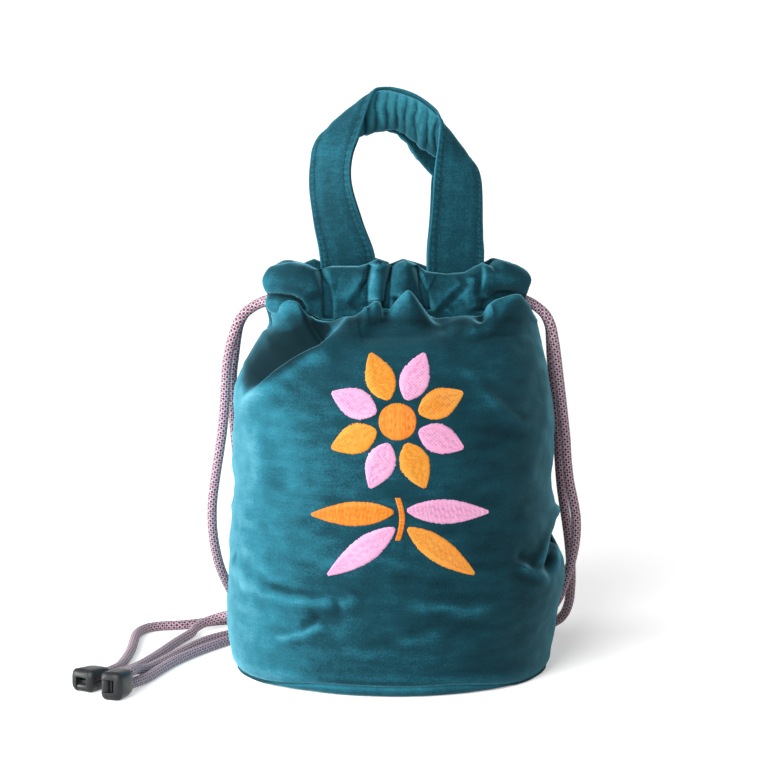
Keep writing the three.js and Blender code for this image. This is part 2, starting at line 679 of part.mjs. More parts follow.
const upper = block(-reach, reach, -reach, reach, clipSplit + seatGap / 2, reach);
const cheeks = hollowHull.intersect(behindHinge).subtract(belowHinge)
  .add(hollowHull.intersect(cheekRound)).subtract(tongueSlot);
const pin = bar(clipPinRadius, -windowHalf - 1, windowHalf + 1, hingeX, 0, hingeZ, false);
const cover = hollowHull.intersect(upper).subtract(tongueSlot).add(cheeks).add(pin);

const lower = block(hingeX, reach, -reach, reach, -reach, clipSplit - seatGap / 2);
const sidesClear = cheekClear.subtract(block(-reach, reach, -tongueHalf, tongueHalf, -reach, reach));
const knuckle = bar(clipCheekRadius - 0.3, -tongueHalf, tongueHalf, hingeX, 0, hingeZ, false);
const pinHole = bar(clipPinRadius + clipBoreClearance, -reach, reach, hingeX, 0, hingeZ, false);
const base = hollowHull.intersect(lower).subtract(sidesClear).add(knuckle).subtract(pinHole);

for (const [letter, clip] of Object.entries(clips)) {
  piece(`cord_end_${letter}_base`, toGeometry(base), BLACK, 0.5, clip);
  piece(`cord_end_${letter}_cover`, toGeometry(cover), BLACK, 0.5, clip);
}

// Embroidery: raised stitched shapes that follow the front wall
function profileAt(z) {
  let low = 0;
  let high = 1;
  while (high - low > 1e-6) {
    const middle = (low + high) / 2;
    if (wallProfile.getPoint(middle).z < z) low = middle;
    else high = middle;
  }
  return wallProfile.getPoint(low);
}

function frontPlace(x, z, lift) {
  const depthAt = (a, b) => {
    const p = profileAt(b);
    const past = Math.max(0, Math.abs(a / drawnAt(a, b)) - Math.max(0, p.y));
    return -Math.sqrt(p.x * p.x - past * past);
  };
  const small = 0.5;
  const slopeX = (depthAt(x + small, z) - depthAt(x - small, z)) / (2 * small);
  const slopeZ = (depthAt(x, z + small) - depthAt(x, z - small)) / (2 * small);
  const outward = new THREE.Vector3(slopeX, -1, slopeZ).normalize();
  const raised = lift + pleatLift(x, z, -1);
  return new THREE.Vector3(x, depthAt(x, z), z).addScaledVector(outward, raised);
}

// A stitched patch: outlineAt gives its flat place for u along and v across, both 0 to 1.
function stitched(name, outlineAt, uSteps, vSteps, color) {
  const geometry = sheetGeometry((u, v, face) => {
    const [x, z] = outlineAt(u, v);
    return frontPlace(x, z, stitchGap + face * stitchHeight);
  }, uSteps, vSteps);
  piece(name, geometry, color, 0.6);
}

// A pointed petal or leaf along a straight axis, with a blunt last stitch at each end
function petalOutline(x, z, angle, length, halfWidth) {
  const [cos, sin] = [Math.cos(angle), Math.sin(angle)];
  return (u, v) => {
    const half = 0.7 + (halfWidth - 0.7) * Math.sin(Math.PI * u ** 0.85) ** 0.9;
    const [along, across] = [u * length, (2 * v - 1) * half];
    return [x + along * cos - across * sin, z + along * sin + across * cos];
  };
}

for (let k = 0; k < flowerPetals; k++) {
  const angle = (k + 0.5) * 2 * Math.PI / flowerPetals;
  const [x, z] = [petalStart * Math.cos(angle), flowerHeight + petalStart * Math.sin(angle)];
  const outline = petalOutline(x, z, angle, petalLength, petalHalfWidth);
  stitched(`embroidered_petal_${k + 1}`, outline, 7, 4, k % 2 ? PINK : LIGHT_ORANGE);
}

stitched('embroidered_flower_centre', (u, v) => {
  const [a, b] = [2 * u - 1, 2 * v - 1];
  const x = flowerCentreRadius * a * Math.sqrt(1 - b * b / 2);
  const z = flowerCentreRadius * b * Math.sqrt(1 - a * a / 2);
  return [x, flowerHeight + z];
}, 6, 6, DEEP_ORANGE);

// Stem and leaves: the stem hangs from the flower, and the leaves spread from it in pairs
const stemTop = flowerHeight - petalStart - petalLength - 2;
const stemLength = 24;
stitched('embroidered_stem', (u, v) => {
  const sway = 2.5 * Math.sin(Math.PI * u);
  return [sway + (2 * v - 1) * stemHalfWidth, stemTop - u * stemLength];
}, 6, 2, DEEP_ORANGE);

const leaves = [
  { x: 5, drop: 7, angle: -4, color: PINK },
  { x: -2, drop: 8, angle: 184, color: DEEP_ORANGE },
  { x: 5.5, drop: 17, angle: -36, color: LIGHT_ORANGE },
  { x: -1.5, drop: 17, angle: 216, color: PINK },
];
for (const [k, leaf] of leaves.entries()) {
  const outline = petalOutline(leaf.x, stemTop - leaf.drop, leaf.angle * degrees, leafLength, leafHalfWidth);
  stitched(`embroidered_leaf_${k + 1}`, outline, 8, 4, leaf.color);
}

export default bag;
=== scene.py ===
"""A standing drawstring bag of velveteen, dressed over its packed construction.

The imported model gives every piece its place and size. This file makes what the eye sees: the
gathered velveteen, the folded straps, the braided cords, the satin stitches and the plastic ends.
Lengths inside the classes are millimetres, and meshes are made in metres.
"""

import logging
import math
import random
from collections.abc import Callable, Sequence
from dataclasses import dataclass, field
from enum import Enum
from functools import partial

import bmesh
import bpy
import numpy as np
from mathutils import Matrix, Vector, noise
from mathutils.bvhtree import BVHTree


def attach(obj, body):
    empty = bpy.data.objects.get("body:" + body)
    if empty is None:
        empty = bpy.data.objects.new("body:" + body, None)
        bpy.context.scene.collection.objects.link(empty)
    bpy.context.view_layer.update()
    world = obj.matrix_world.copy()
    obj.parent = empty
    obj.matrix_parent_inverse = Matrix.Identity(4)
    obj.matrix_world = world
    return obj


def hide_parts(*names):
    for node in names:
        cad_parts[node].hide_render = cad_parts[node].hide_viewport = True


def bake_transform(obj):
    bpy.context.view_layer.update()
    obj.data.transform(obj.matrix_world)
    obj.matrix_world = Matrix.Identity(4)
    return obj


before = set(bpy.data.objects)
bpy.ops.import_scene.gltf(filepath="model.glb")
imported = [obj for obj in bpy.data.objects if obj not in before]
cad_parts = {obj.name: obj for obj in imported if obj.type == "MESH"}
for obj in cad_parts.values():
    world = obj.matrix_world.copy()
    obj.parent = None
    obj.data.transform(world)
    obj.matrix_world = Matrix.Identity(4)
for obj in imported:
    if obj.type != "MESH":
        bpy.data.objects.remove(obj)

logging.basicConfig(level=logging.INFO, format="%(name)s: %(message)s")
log = logging.getLogger("bag")

MM = 0.001
TOUCHING = 1e-6
TENTHS_PER_METRE = 10000
VELVETEEN_THICKNESS = 1.4
LINING_THICKNESS = 0.6
BASE_RADIUS = 94.5
BASE_SEAM = 6.3

Array = np.ndarray
Piece = bpy.types.Object
Material = bpy.types.Material
Pair = tuple[float, float]
Point = tuple[float, float, float]
Place = Callable[[Array, Array], Array]


class Side(Enum):
    """Which half of the bag a piece belongs to, as the sign of Y."""

    FRONT = -1
    BACK = 1


# ---- curves and meshes


def through(points: Sequence[Sequence[float]], per: int = 24) -> Array:
    """Draws one smooth line through chosen points, as a centripetal Catmull-Rom curve.

    Args:
        points: the points that the line passes through.
        per: how many steps each span gets.

    Returns:
        The line's places, one row each.
    """
    given = np.asarray(points, float)
    ends = [2 * given[0] - given[1], *given, 2 * given[-1] - given[-2]]
    line = []
    share = np.linspace(0, 1, per, endpoint=False)[:, None]
    for a, b, c, d in zip(ends, ends[1:], ends[2:], ends[3:]):
        ab, bc, cd = (math.sqrt(np.linalg.norm(q - p)) for p, q in ((a, b), (b, c), (c, d)))
        leave = ((b - a) / ab - (c - a) / (ab + bc) + (c - b) / bc) * bc
        arrive = ((c - b) / bc - (d - b) / (bc + cd) + (d - c) / cd) * bc
        square, cube = share**2, share**3
        line.append(b + leave * share + (3 * (c - b) - 2 * leave - arrive) * square
                    + (2 * (b - c) + leave + arrive) * cube)
    return np.vstack([*line, given[-1:]])


def evenly(line: Array, count: int) -> Array:
    """Places count + 1 points along a line at equal distances.

    Args:
        line: the line's places, one row each.
        count: how many equal steps it gets.

    Returns:
        The points, one row each.
    """
    far = walked(line)
    want = np.linspace(0, far[-1], count + 1)
    return np.stack([np.interp(want, far, line[:, k]) for k in range(line.shape[1])], axis=1)


def walked(line: Array) -> Array:
    """How far along a line each of its points is."""
    return np.concatenate([[0], np.cumsum(np.linalg.norm(np.diff(line, axis=0), axis=1))])


def unit(ways: Array) -> Array:
    """Scales each row to length 1, and leaves a row of nought as it is."""
    return ways / np.maximum(np.linalg.norm(ways, axis=1), 1e-9)[:, None]


def smooth(x: Array | float) -> Array:
    """Eases a share from 0 to 1, flat at both ends."""
    t = np.clip(x, 0, 1)
    return t * t * (3 - 2 * t)


def bump(x: Array | float, middle: float, width: float) -> Array:
    """A bell of height 1 at middle, about width to each side."""
    return np.exp(-(((x - middle) / width) ** 2))


def wander(at: Array, scale: Sequence[float], seed: float, octaves: int = 3) -> Array:
    """Soft noise between about -1 and 1 at places in millimetres.

    Args:
        at: the places, one row each.
        scale: the size of the noise's features along X, Y and Z, in millimetres.
        seed: moves the pattern, so that two pieces differ.
        octaves: how many finer layers are added.

    Returns:
        One value for each place.
    """
    spots = np.asarray(at, float) / np.asarray(scale, float) + seed
    return np.array([noise.fractal(Vector(spot), 0.8, 2.0, octaves) for spot in spots])


def grid_piece(name: str, columns: int, rows: int, place: Place, closed: bool = False) -> Piece:
    """Makes a cloth-like mesh from a flat grid whose corners are moved to their places.

    Args:
        name: the piece's name.
        columns: steps along u.
        rows: steps along v.
        place: gives the places in metres, one row each, for arrays of u and v from 0 to 1.
        closed: joins the grid's edges where they meet, as on a tube.

    Returns:
        The object, at the origin, with a UV map of u and v.
    """
    sheet = bmesh.new()
    sheet.loops.layers.uv.new("UVMap")
    bmesh.ops.create_grid(sheet, x_segments=columns, y_segments=rows, size=0.5, calc_uvs=True)
    flat = np.array([vert.co[:2] for vert in sheet.verts])
    for vert, spot in zip(sheet.verts, place(flat[:, 0] + 0.5, flat[:, 1] + 0.5)):
        vert.co = spot
    if closed:
        bmesh.ops.remove_doubles(sheet, verts=sheet.verts[:], dist=TOUCHING)
    bmesh.ops.recalc_face_normals(sheet, faces=sheet.faces[:])
    return mesh_object(name, sheet)


def mesh_object(name: str, made: bmesh.types.BMesh) -> Piece:
    """Turns a finished bmesh into a smooth-shaded object at the origin.

    Args:
        name: the piece's name.
        made: the bmesh, which is freed.

    Returns:
        The object.
    """
    mesh = bpy.data.meshes.new(name)
    for face in made.faces:
        face.smooth = True
    made.to_mesh(mesh)
    made.free()
    piece = bpy.data.objects.new(name, mesh)
    bpy.context.scene.collection.objects.link(piece)
    return piece


def face_towards(piece: Piece, inside: Callable[[Vector], Vector]) -> None:
    """Flips an open sheet if its faces look at its inner point instead of away from it.

    Args:
        piece: the sheet.
        inside: gives, for a face's middle, a point behind that face.
    """
    faces = list(piece.data.polygons)
    sample = faces[:: max(1, len(faces) // 50)]
    out = sum((face.center - inside(face.center)).dot(face.normal) > 0 for face in sample)
    if out * 2 < len(sample):
        piece.data.flip_normals()


def thicken(piece: Piece, thickness: float) -> None:
    """Gives a sheet its thickness inwards, and bakes it into the mesh.

    Args:
        piece: the sheet, its faces pointing outwards.
        thickness: the cloth's thickness in millimetres.
    """
    wall = piece.modifiers.new("thickness", "SOLIDIFY")
    wall.thickness = thickness * MM
    wall.offset = -1
    wall.use_even_offset = False
    bpy.context.view_layer.update()
    done = piece.evaluated_get(bpy.context.evaluated_depsgraph_get())
    mesh = bpy.data.meshes.new_from_object(done)
    piece.modifiers.clear()
    piece.data = mesh


def dress(piece: Piece, material: Material) -> None:
    """Gives a piece its one material.

    Args:
        piece: the piece.
        material: its finish.
    """
    piece.data.materials.clear()
    piece.data.materials.append(material)


# ---- finishes


def linear(code: str) -> tuple[float, float, float, float]:
    """Turns an sRGB hex colour into linear light, with full alpha.

    Args:
        code: six hex digits.

    Returns:
        Red, green, blue and alpha.
    """
    channels = [int(code[k : k + 2], 16) / 255 for k in (0, 2, 4)]
    light = [c / 12.92 if c <= 0.04045 else ((c + 0.055) / 1.055) ** 2.4 for c in channels]
    return (*light, 1.0)


def add_node(tree: bpy.types.NodeTree, kind: str, settings: dict | None = None) -> bpy.types.Node:
    """Adds one shader node with its settings and links.

    Args:
        tree: the material's node tree.
        kind: the node's type, without the ShaderNode prefix.
        settings: property names first, then input names or numbers, each with its value. An
            output socket is linked to the input, and so is a node, by its first output.

    Returns:
        The node.
    """
    node = tree.nodes.new("ShaderNode" + kind)
    for key, value in (settings or {}).items():
        source = value.outputs[0] if isinstance(value, bpy.types.Node) else value
        if isinstance(source, bpy.types.NodeSocket):
            tree.links.new(source, node.inputs[key])
        elif isinstance(key, str) and key not in node.inputs:
            setattr(node, key, value)
        else:
            node.inputs[key].default_value = value
    return node


def new_material(name: str) -> tuple[Material, Callable[..., bpy.types.Node]]:
    """Starts a material with an empty node tree, and gives what adds a node to it.

    Args:
        name: the material's name.

    Returns:
        The material, and add_node for its own tree.
    """
    material = bpy.data.materials.new(name)
    material.use_nodes = True
    material.node_tree.nodes.clear()
    return material, partial(add_node, material.node_tree)


@dataclass(frozen=True)
class Velveteen:
    """Cotton velveteen, a short cut pile on a twill ground, dyed in the piece.

    Face on the pile swallows light, and its sheen shines pale at grazing angles. Its colour steps
    from a painted shade colour to painted highlight colours with the painted light and shade that
    each piece
    stores: light crests, deep troughs, flanks lighter to the left and darker to the right, and
    painted marks. Random patches, streaks and specks of pile vary it as well.
    """

    name: str
    # deep is the painted shade colour of troughs, body the cloth's own colour, and the next two the
    # painted highlight colours of crests; random patches and specks of pile reach them too
    deep: str = "051d24"
    body: str = "123f4b"
    painted_lit: str = "276f81"
    pale: str = "5da2b3"
    sheen: str = "86dcf2"
    body_at: float = 0.36
    patch_mm: float = 26
    streak_mm: float = 1.6
    pile_mm: float = 0.9  # real pile is 0.2 mm, drawn coarser so that it shows
    crush: float = 0.22

    def material(self) -> Material:
        """Builds the node tree.

        Returns:
            The material.
        """
        material, add = new_material(self.name)
        where = add("TexCoord").outputs["Object"]
        upright = add("Mapping", {"Scale": (0.16, 0.16, 1.0), "Vector": where})
        patches = add("TexNoise", {"Scale": 1000 / self.patch_mm, "Detail": 3.0,
                                   "Roughness": 0.55, "Vector": where})
        streaks, pile = (
            add("TexNoise", {"Scale": 1000 / size_mm, "Detail": 2.0, "Vector": places})
            for size_mm, places in ((self.streak_mm, upright), (self.pile_mm, where)))
        mottle, grain, speck = (
            add("MapRange", {"From Min": 0.3, "From Max": 0.7, "To Min": -most, "To Max": most,
                             "Value": pattern})
            for pattern, most in ((patches, 0.2), (streaks, 0.12), (pile, 0.32)))
        # the painted light and shade that each piece stores, which moves the colour along the ramp
        crest = add("Attribute", {"attribute_name": "crest"}).outputs["Fac"]
        shift = add("Math", {"operation": "ADD", 0: mottle, 1: grain})
        shift = add("Math", {"operation": "ADD", 0: shift, 1: speck})
        shift = add("Math", {"operation": "MULTIPLY_ADD", 0: shift, 1: self.crush,
                             2: self.body_at})
        shift = add("Math", {"operation": "ADD", 0: shift, 1: crest})
        ramp = add("ValToRGB", {"Fac": shift})
        # the ramp runs from painted shade through the cloth's own colour to painted highlight
        stops = ramp.color_ramp.elements
        stops[0].position, stops[0].color = 0.05, linear(self.deep)
        stops[1].position, stops[1].color = 1.0, linear(self.pale)
        stops.new(self.body_at).color = linear(self.body)
        stops.new(0.66).color = linear(self.painted_lit)
        lumps = add("Bump", {"Strength": 0.35, "Distance": 0.0004, "Height": pile})
        lumps = add("Bump", {"Strength": 0.1, "Distance": 0.0004, "Height": streaks,
                             "Normal": lumps})
        shader = add("BsdfPrincipled", {
            "Roughness": 0.9, "Specular IOR Level": 0.1, "Sheen Weight": 0.9,
            "Sheen Roughness": 0.35, "Sheen Tint": linear(self.sheen), "Base Color": ramp,
            "Normal": lumps})
        add("OutputMaterial", {"Surface": shader})
        return material


@dataclass(frozen=True)
class PlainWeave:
    """Plain-woven cotton lining, dyed dark: a fine matt basket of threads."""

    name: str
    thread: str = "27373f"
    # hollow is painted shade in the hollows between the threads
    hollow: str = "1d2a30"
    thread_mm: float = 0.8  # real threads are 0.4 mm, drawn coarser so that they show

    def material(self) -> Material:
        """Builds the node tree, whose bands are counted across a panel of about 300 mm.

        Returns:
            The material.
        """
        material, add = new_material(self.name)
        where = add("TexCoord").outputs["UV"]
        warp, weft = (add("TexWave", {"bands_direction": way, "Scale": 100 / self.thread_mm,
                                      "Vector": where}).outputs["Fac"] for way in "XY")
        weave = add("Math", {"operation": "MULTIPLY", 0: warp, 1: weft})
        colour = add("Mix", {"data_type": "RGBA", 0: weave, 6: linear(self.hollow),
                             7: linear(self.thread)})
        lumps = add("Bump", {"Strength": 0.3, "Distance": 0.0003, "Height": weave})
        shader = add("BsdfPrincipled", {"Roughness": 0.8, "Specular IOR Level": 0.3,
                                        "Base Color": colour.outputs[2], "Normal": lumps})
        add("OutputMaterial", {"Surface": shader})
        return material


@dataclass(frozen=True)
class BraidedPolyester:
    """Round polyester accessory cord, a diamond braid of smooth yarns over a core.

    Pale yarns run both ways round. Magenta shows where two of them cross, and blue-green and
    dark yarns show between them, so the cord is flecked all over. The filaments are smooth,
    which gives a soft shine.
    """

    name: str
    pale: str = "dccbd8"
    magenta: str = "7d0f3c"
    green: str = "8fb3b8"
    dark: str = "3d4654"
    yarns: int = 12
    rise_mm: float = 1.65
    plain_share: float = 0.7

    def material(self) -> Material:
        """Builds the node tree. The UV map's u is the way along in mm, v the share round.

        Returns:
            The material.
        """
        material, add = new_material(self.name)
        split = add("SeparateXYZ", {0: add("TexCoord").outputs["UV"]})
        along = add("Math", {"operation": "DIVIDE", 0: split, 1: self.rise_mm})
        around = add("Math", {"operation": "MULTIPLY", 0: split.outputs[1], 1: self.yarns})
        arches, wide = [], []
        for lean in ("ADD", "SUBTRACT"):
            way = add("Math", {"operation": lean, 0: along, 1: around})
            turn = add("Math", {"operation": "FRACT", 0: way})
            turn = add("Math", {"operation": "MULTIPLY", 0: turn, 1: math.pi})
            arches.append(add("Math", {"operation": "SINE", 0: turn}))
            pair = add("Math", {"operation": "FLOORED_MODULO", 0: way, 1: 2.0})
            wide.append(add("Math", {"operation": "GREATER_THAN", 0: pair, 1: self.plain_share}))
        fourth = add("Math", {"operation": "FLOOR", 0: way})
        fourth = add("Math", {"operation": "FLOORED_MODULO", 0: fourth, 1: 4.0})
        is_dark = add("Math", {"operation": "COMPARE", 0: fourth, 1: 2.0, 2: 0.1})
        is_pale = add("Math", {"operation": "MAXIMUM", 0: wide[0], 1: wide[1]})
        is_fleck = add("Math", {"operation": "MULTIPLY", 0: wide[0], 1: wide[1]})
        colour = linear(self.green)
        for chosen, code in ((is_dark, self.dark), (is_pale, self.pale), (is_fleck, self.magenta)):
            colour = add("Mix", {"data_type": "RGBA", 0: chosen, 6: colour,
                                 7: linear(code)}).outputs[2]
        swell = add("Math", {"operation": "MULTIPLY", 0: arches[0], 1: arches[1]})
        swell = add("Math", {"operation": "POWER", 0: swell, 1: 0.5})
        shade = add("MapRange", {"From Max": 0.6, "To Min": 0.55, "To Max": 1.0, "Value": swell})
        colour = add("Mix", {"data_type": "RGBA", "blend_type": "MULTIPLY", 0: 1.0, 6: colour,
                             7: shade})
        lumps = add("Bump", {"Strength": 0.8, "Distance": 0.0004, "Height": swell})
        shader = add("BsdfPrincipled", {
            "Roughness": 0.55, "Specular IOR Level": 0.4, "Sheen Weight": 0.15,
            "Base Color": colour.outputs[2], "Normal": lumps})
        add("OutputMaterial", {"Surface": shader})
        return material


@dataclass(frozen=True)
class RayonThread:
    """Trilobal rayon embroidery thread in split satin stitch.

    Smooth filaments lie side by side and shine along their length. Down the middle of a patch
    the stitches are split, so short dark needle gaps open between the threads.
    """

    name: str
    colour: str
    shade: str
    second: str

    def material(self) -> Material:
        """Builds the node tree. The UV map's u counts the threads, v is the share along one.

        Returns:
            The material.
        """
        material, add = new_material(self.name)
        coordinates = add("TexCoord")
        split = add("SeparateXYZ", {0: coordinates.outputs["UV"]})
        number = add("Math", {"operation": "FLOOR", 0: split})
        luck = add("TexWhiteNoise", {"noise_dimensions": "1D", "W": number}).outputs["Value"]
        arch = add("Math", {"operation": "FRACT", 0: split})
        arch = add("Math", {"operation": "MULTIPLY", 0: arch, 1: math.pi})
        arch = add("Math", {"operation": "SINE", 0: arch})
        shift = add("Math", {"operation": "MULTIPLY_ADD", 0: split.outputs[1], 1: 3.7, 2: luck})
        dash = add("Math", {"operation": "PINGPONG", 0: shift, 1: 0.5})
        middle = add("Math", {"operation": "PINGPONG", 0: split.outputs[1], 1: 0.5})
        between, broken, central = (
            add("MapRange", {"From Min": low, "From Max": high, "To Max": 1.0, "Value": value})
            for value, low, high in ((arch, 0.75, 0.3), (dash, 0.22, 0.36), (middle, 0.16, 0.26)))
        gap = add("Math", {"operation": "MULTIPLY", 0: between, 1: broken})
        gap = add("Math", {"operation": "MULTIPLY", 0: gap, 1: central})
        blend = add("TexNoise", {"Scale": 70.0, "Detail": 1.0,
                                 "Vector": coordinates.outputs["Object"]})
        blend = add("Math", {"operation": "MULTIPLY_ADD", 0: luck, 1: 0.5, 2: blend})
        blend = add("MapRange", {"From Min": 0.55, "From Max": 1.05, "To Max": 0.8,
                                 "Value": blend})
        dyed = add("Mix", {"data_type": "RGBA", 0: blend, 6: linear(self.colour),
                           7: linear(self.second)})
        # painted shade: the colour darkens towards the shade colour between the threads, and fully
        # in the needle gaps
        level = add("MapRange", {"From Max": 0.9, "To Min": 0.45, "To Max": 0.0, "Value": arch})
        level = add("Math", {"operation": "MAXIMUM", 0: level, 1: gap})
        colour = add("Mix", {"data_type": "RGBA", 0: level, 6: dyed.outputs[2],
                             7: linear(self.shade)})
        height = add("Math", {"operation": "SUBTRACT", 0: arch, 1: gap})
        lumps = add("Bump", {"Strength": 0.6, "Distance": 0.0003, "Height": height})
        shader = add("BsdfPrincipled", {
            "Roughness": 0.45, "Specular IOR Level": 0.3, "Sheen Weight": 0.1,
            "Base Color": colour.outputs[2], "Normal": lumps})
        add("OutputMaterial", {"Surface": shader})
        return material


@dataclass(frozen=True)
class MouldedAcetal:
    """Injection-moulded acetal in charcoal: a fine spark texture with a satin gloss."""

    name: str
    colour: str = "1c1d1f"
    worn: str = "2a2c2f"
    grit_mm: float = 0.35

    def material(self) -> Material:
        """Builds the node tree.

        Returns:
            The material.
        """
        material, add = new_material(self.name)
        where = add("TexCoord").outputs["Object"]
        grit = add("TexNoise", {"Scale": 1000 / self.grit_mm, "Detail": 2.0, "Vector": where})
        wear = add("TexNoise", {"Scale": 180.0, "Detail": 3.0, "Vector": where})
        gloss = add("MapRange", {"To Min": 0.32, "To Max": 0.5, "Value": wear})
        colour = add("Mix", {"data_type": "RGBA", 0: wear, 6: linear(self.colour),
                             7: linear(self.worn)})
        lumps = add("Bump", {"Strength": 0.25, "Distance": 0.0001, "Height": grit})
        shader = add("BsdfPrincipled", {"Specular IOR Level": 0.35, "Roughness": gloss,
                                        "Base Color": colour.outputs[2], "Normal": lumps})
        add("OutputMaterial", {"Surface": shader})
        return material


@dataclass(frozen=True)
class PressedBoard:
    """Grey pressed paper board: a matt face speckled with short fibres."""

    name: str
    dark: str = "2b2b2a"
    light: str = "4c4a46"

    def material(self) -> Material:
        """Builds the node tree.

        Returns:
            The material.
        """
        material, add = new_material(self.name)
        where = add("TexCoord").outputs["Object"]
        fibres = add("TexNoise", {"Scale": 700.0, "Detail": 4.0, "Vector": where})
        colour = add("Mix", {"data_type": "RGBA", 0: fibres, 6: linear(self.dark),
                             7: linear(self.light)})
        lumps = add("Bump", {"Strength": 0.2, "Distance": 0.0002, "Height": fibres})
        shader = add("BsdfPrincipled", {"Roughness": 0.9, "Base Color": colour.outputs[2],
                                        "Normal": lumps})
        add("OutputMaterial", {"Surface": shader})
        return material


@dataclass(frozen=True)
class Finishes:
    """Every material of the bag, made once."""

    velveteen: Material = field(default_factory=Velveteen("cotton velveteen").material)
    # a lighter copy of the velveteen for the ruched strips: painted light on gathers that face up
    ruched: Material = field(default_factory=Velveteen(
        "cotton velveteen, gathered", body="1d5160", painted_lit="34808f").material)
    lining: Material = field(default_factory=PlainWeave("plain cotton lining").material)
    cord: Material = field(default_factory=BraidedPolyester("braided polyester cord").material)
    plastic: Material = field(default_factory=MouldedAcetal("moulded acetal").material)
    board: Material = field(default_factory=PressedBoard("pressed paper board").material)
    light_orange: Material = field(default_factory=RayonThread(
        "rayon thread, light orange", "f9a537", "8f5a18", "f58f24").material)
    deep_orange: Material = field(default_factory=RayonThread(
        "rayon thread, deep orange", "f2821a", "8a4208", "f9a030").material)
    pink: Material = field(default_factory=RayonThread(
        "rayon thread, pink", "f3a9d2", "a0568a", "f8c0e0").material)
    tacking: Material = field(default_factory=RayonThread(
        "polyester sewing thread", "4f93a1", "1c4f5a", "4a8a98").material)


# ---- camera and studio


@dataclass(frozen=True)
class ProductCamera:
    """The photograph's viewpoint: level with the handles, looking a little down."""

    at: Point = (-0.0086, -1.370, 0.290)
    pitch_down: float = 5.06
    lens: float = 109.9

    def place(self) -> None:
        """Makes the camera and hands it to the scene."""
        data = bpy.data.cameras.new("product_camera")
        data.lens = self.lens
        data.sensor_width = 36.0
        camera = bpy.data.objects.new("product_camera", data)
        camera.location = self.at
        camera.rotation_euler = (math.radians(90 - self.pitch_down), 0, 0)
        bpy.context.scene.collection.objects.link(camera)
        bpy.context.scene.camera = camera


@dataclass
class Studio:
    """A pale sweep with a soft box at the left and one in front."""

    sweep_size: float = 5.2
    sweep_back: float = 1.6
    flat_length: float = 3.4
    turn_length: float = 1.0
    turn_radius: float = 0.64
    world_light: float = 0.26

    def build(self) -> None:
        """Makes the floor, the lamps and the world."""
        self._sweep()
        self._lamp("key_softbox", (-1.95, -0.25, 0.45), 0.9, 41.0)
        self._lamp("front_softbox", (-0.75, -1.75, 1.0), 1.2, 47.0)
        world = bpy.data.worlds.new("white studio")
        world.use_nodes = True
        world.node_tree.nodes["Background"].inputs[0].default_value = (1, 1, 1, 1)
        world.node_tree.nodes["Background"].inputs[1].default_value = self.world_light
        bpy.context.scene.world = world
        bpy.context.scene.view_settings.view_transform = "Standard"

    def _sweep(self) -> None:
        """Makes the floor, which curves up behind the bag into a backdrop."""
        sheet = bmesh.new()
        bmesh.ops.create_grid(sheet, x_segments=4, y_segments=60, size=0.5)
        for vert in sheet.verts:
            far = (vert.co.y + 0.5) * self.sweep_size
            past = max(far - self.flat_length, 0)
            turn = min(past / self.turn_length, 1) * math.pi / 2
            y = min(far - self.flat_length, 0) + self.turn_radius * math.sin(turn)
            z = self.turn_radius * (1 - math.cos(turn)) + max(0, past - self.turn_length)
            vert.co = (vert.co.x * self.sweep_size, y + self.sweep_back, z)
        floor = mesh_object("studio_sweep", sheet)
        material, add = new_material("matt white paper sweep")
        paper = add("BsdfDiffuse", {"Color": linear("f2f2f2"), "Roughness": 0.5})
        glow = add("Emission", {"Color": (1, 1, 1, 1), "Strength": 0.4})
        lit = add("AddShader", {0: paper, 1: glow})
        path = add("LightPath")
        seen = add("Math", {"operation": "MAXIMUM", 0: path.outputs["Is Camera Ray"],
                            1: path.outputs["Is Glossy Ray"]})
        mixed = add("MixShader", {0: seen, 1: paper, 2: lit})
        add("OutputMaterial", {"Surface": mixed})
        floor.data.materials.append(material)

    @staticmethod
    def _lamp(name: str, at: Point, size: float, watts: float) -> None:
        """Adds one square soft box that points at the middle of the bag.

        Args:
            name: the lamp's name.
            at: its place in metres.
            size: the length of its side in metres.
            watts: its power.
        """
        data = bpy.data.lights.new(name, "AREA")
        data.size = size
        data.energy = watts
        lamp = bpy.data.objects.new(name, data)
        lamp.location = at
        aim = Vector((0, 0, 0.15)) - Vector(at)
        lamp.rotation_euler = aim.to_track_quat("-Z", "Y").to_euler()
        bpy.context.scene.collection.objects.link(lamp)


# ---- cords


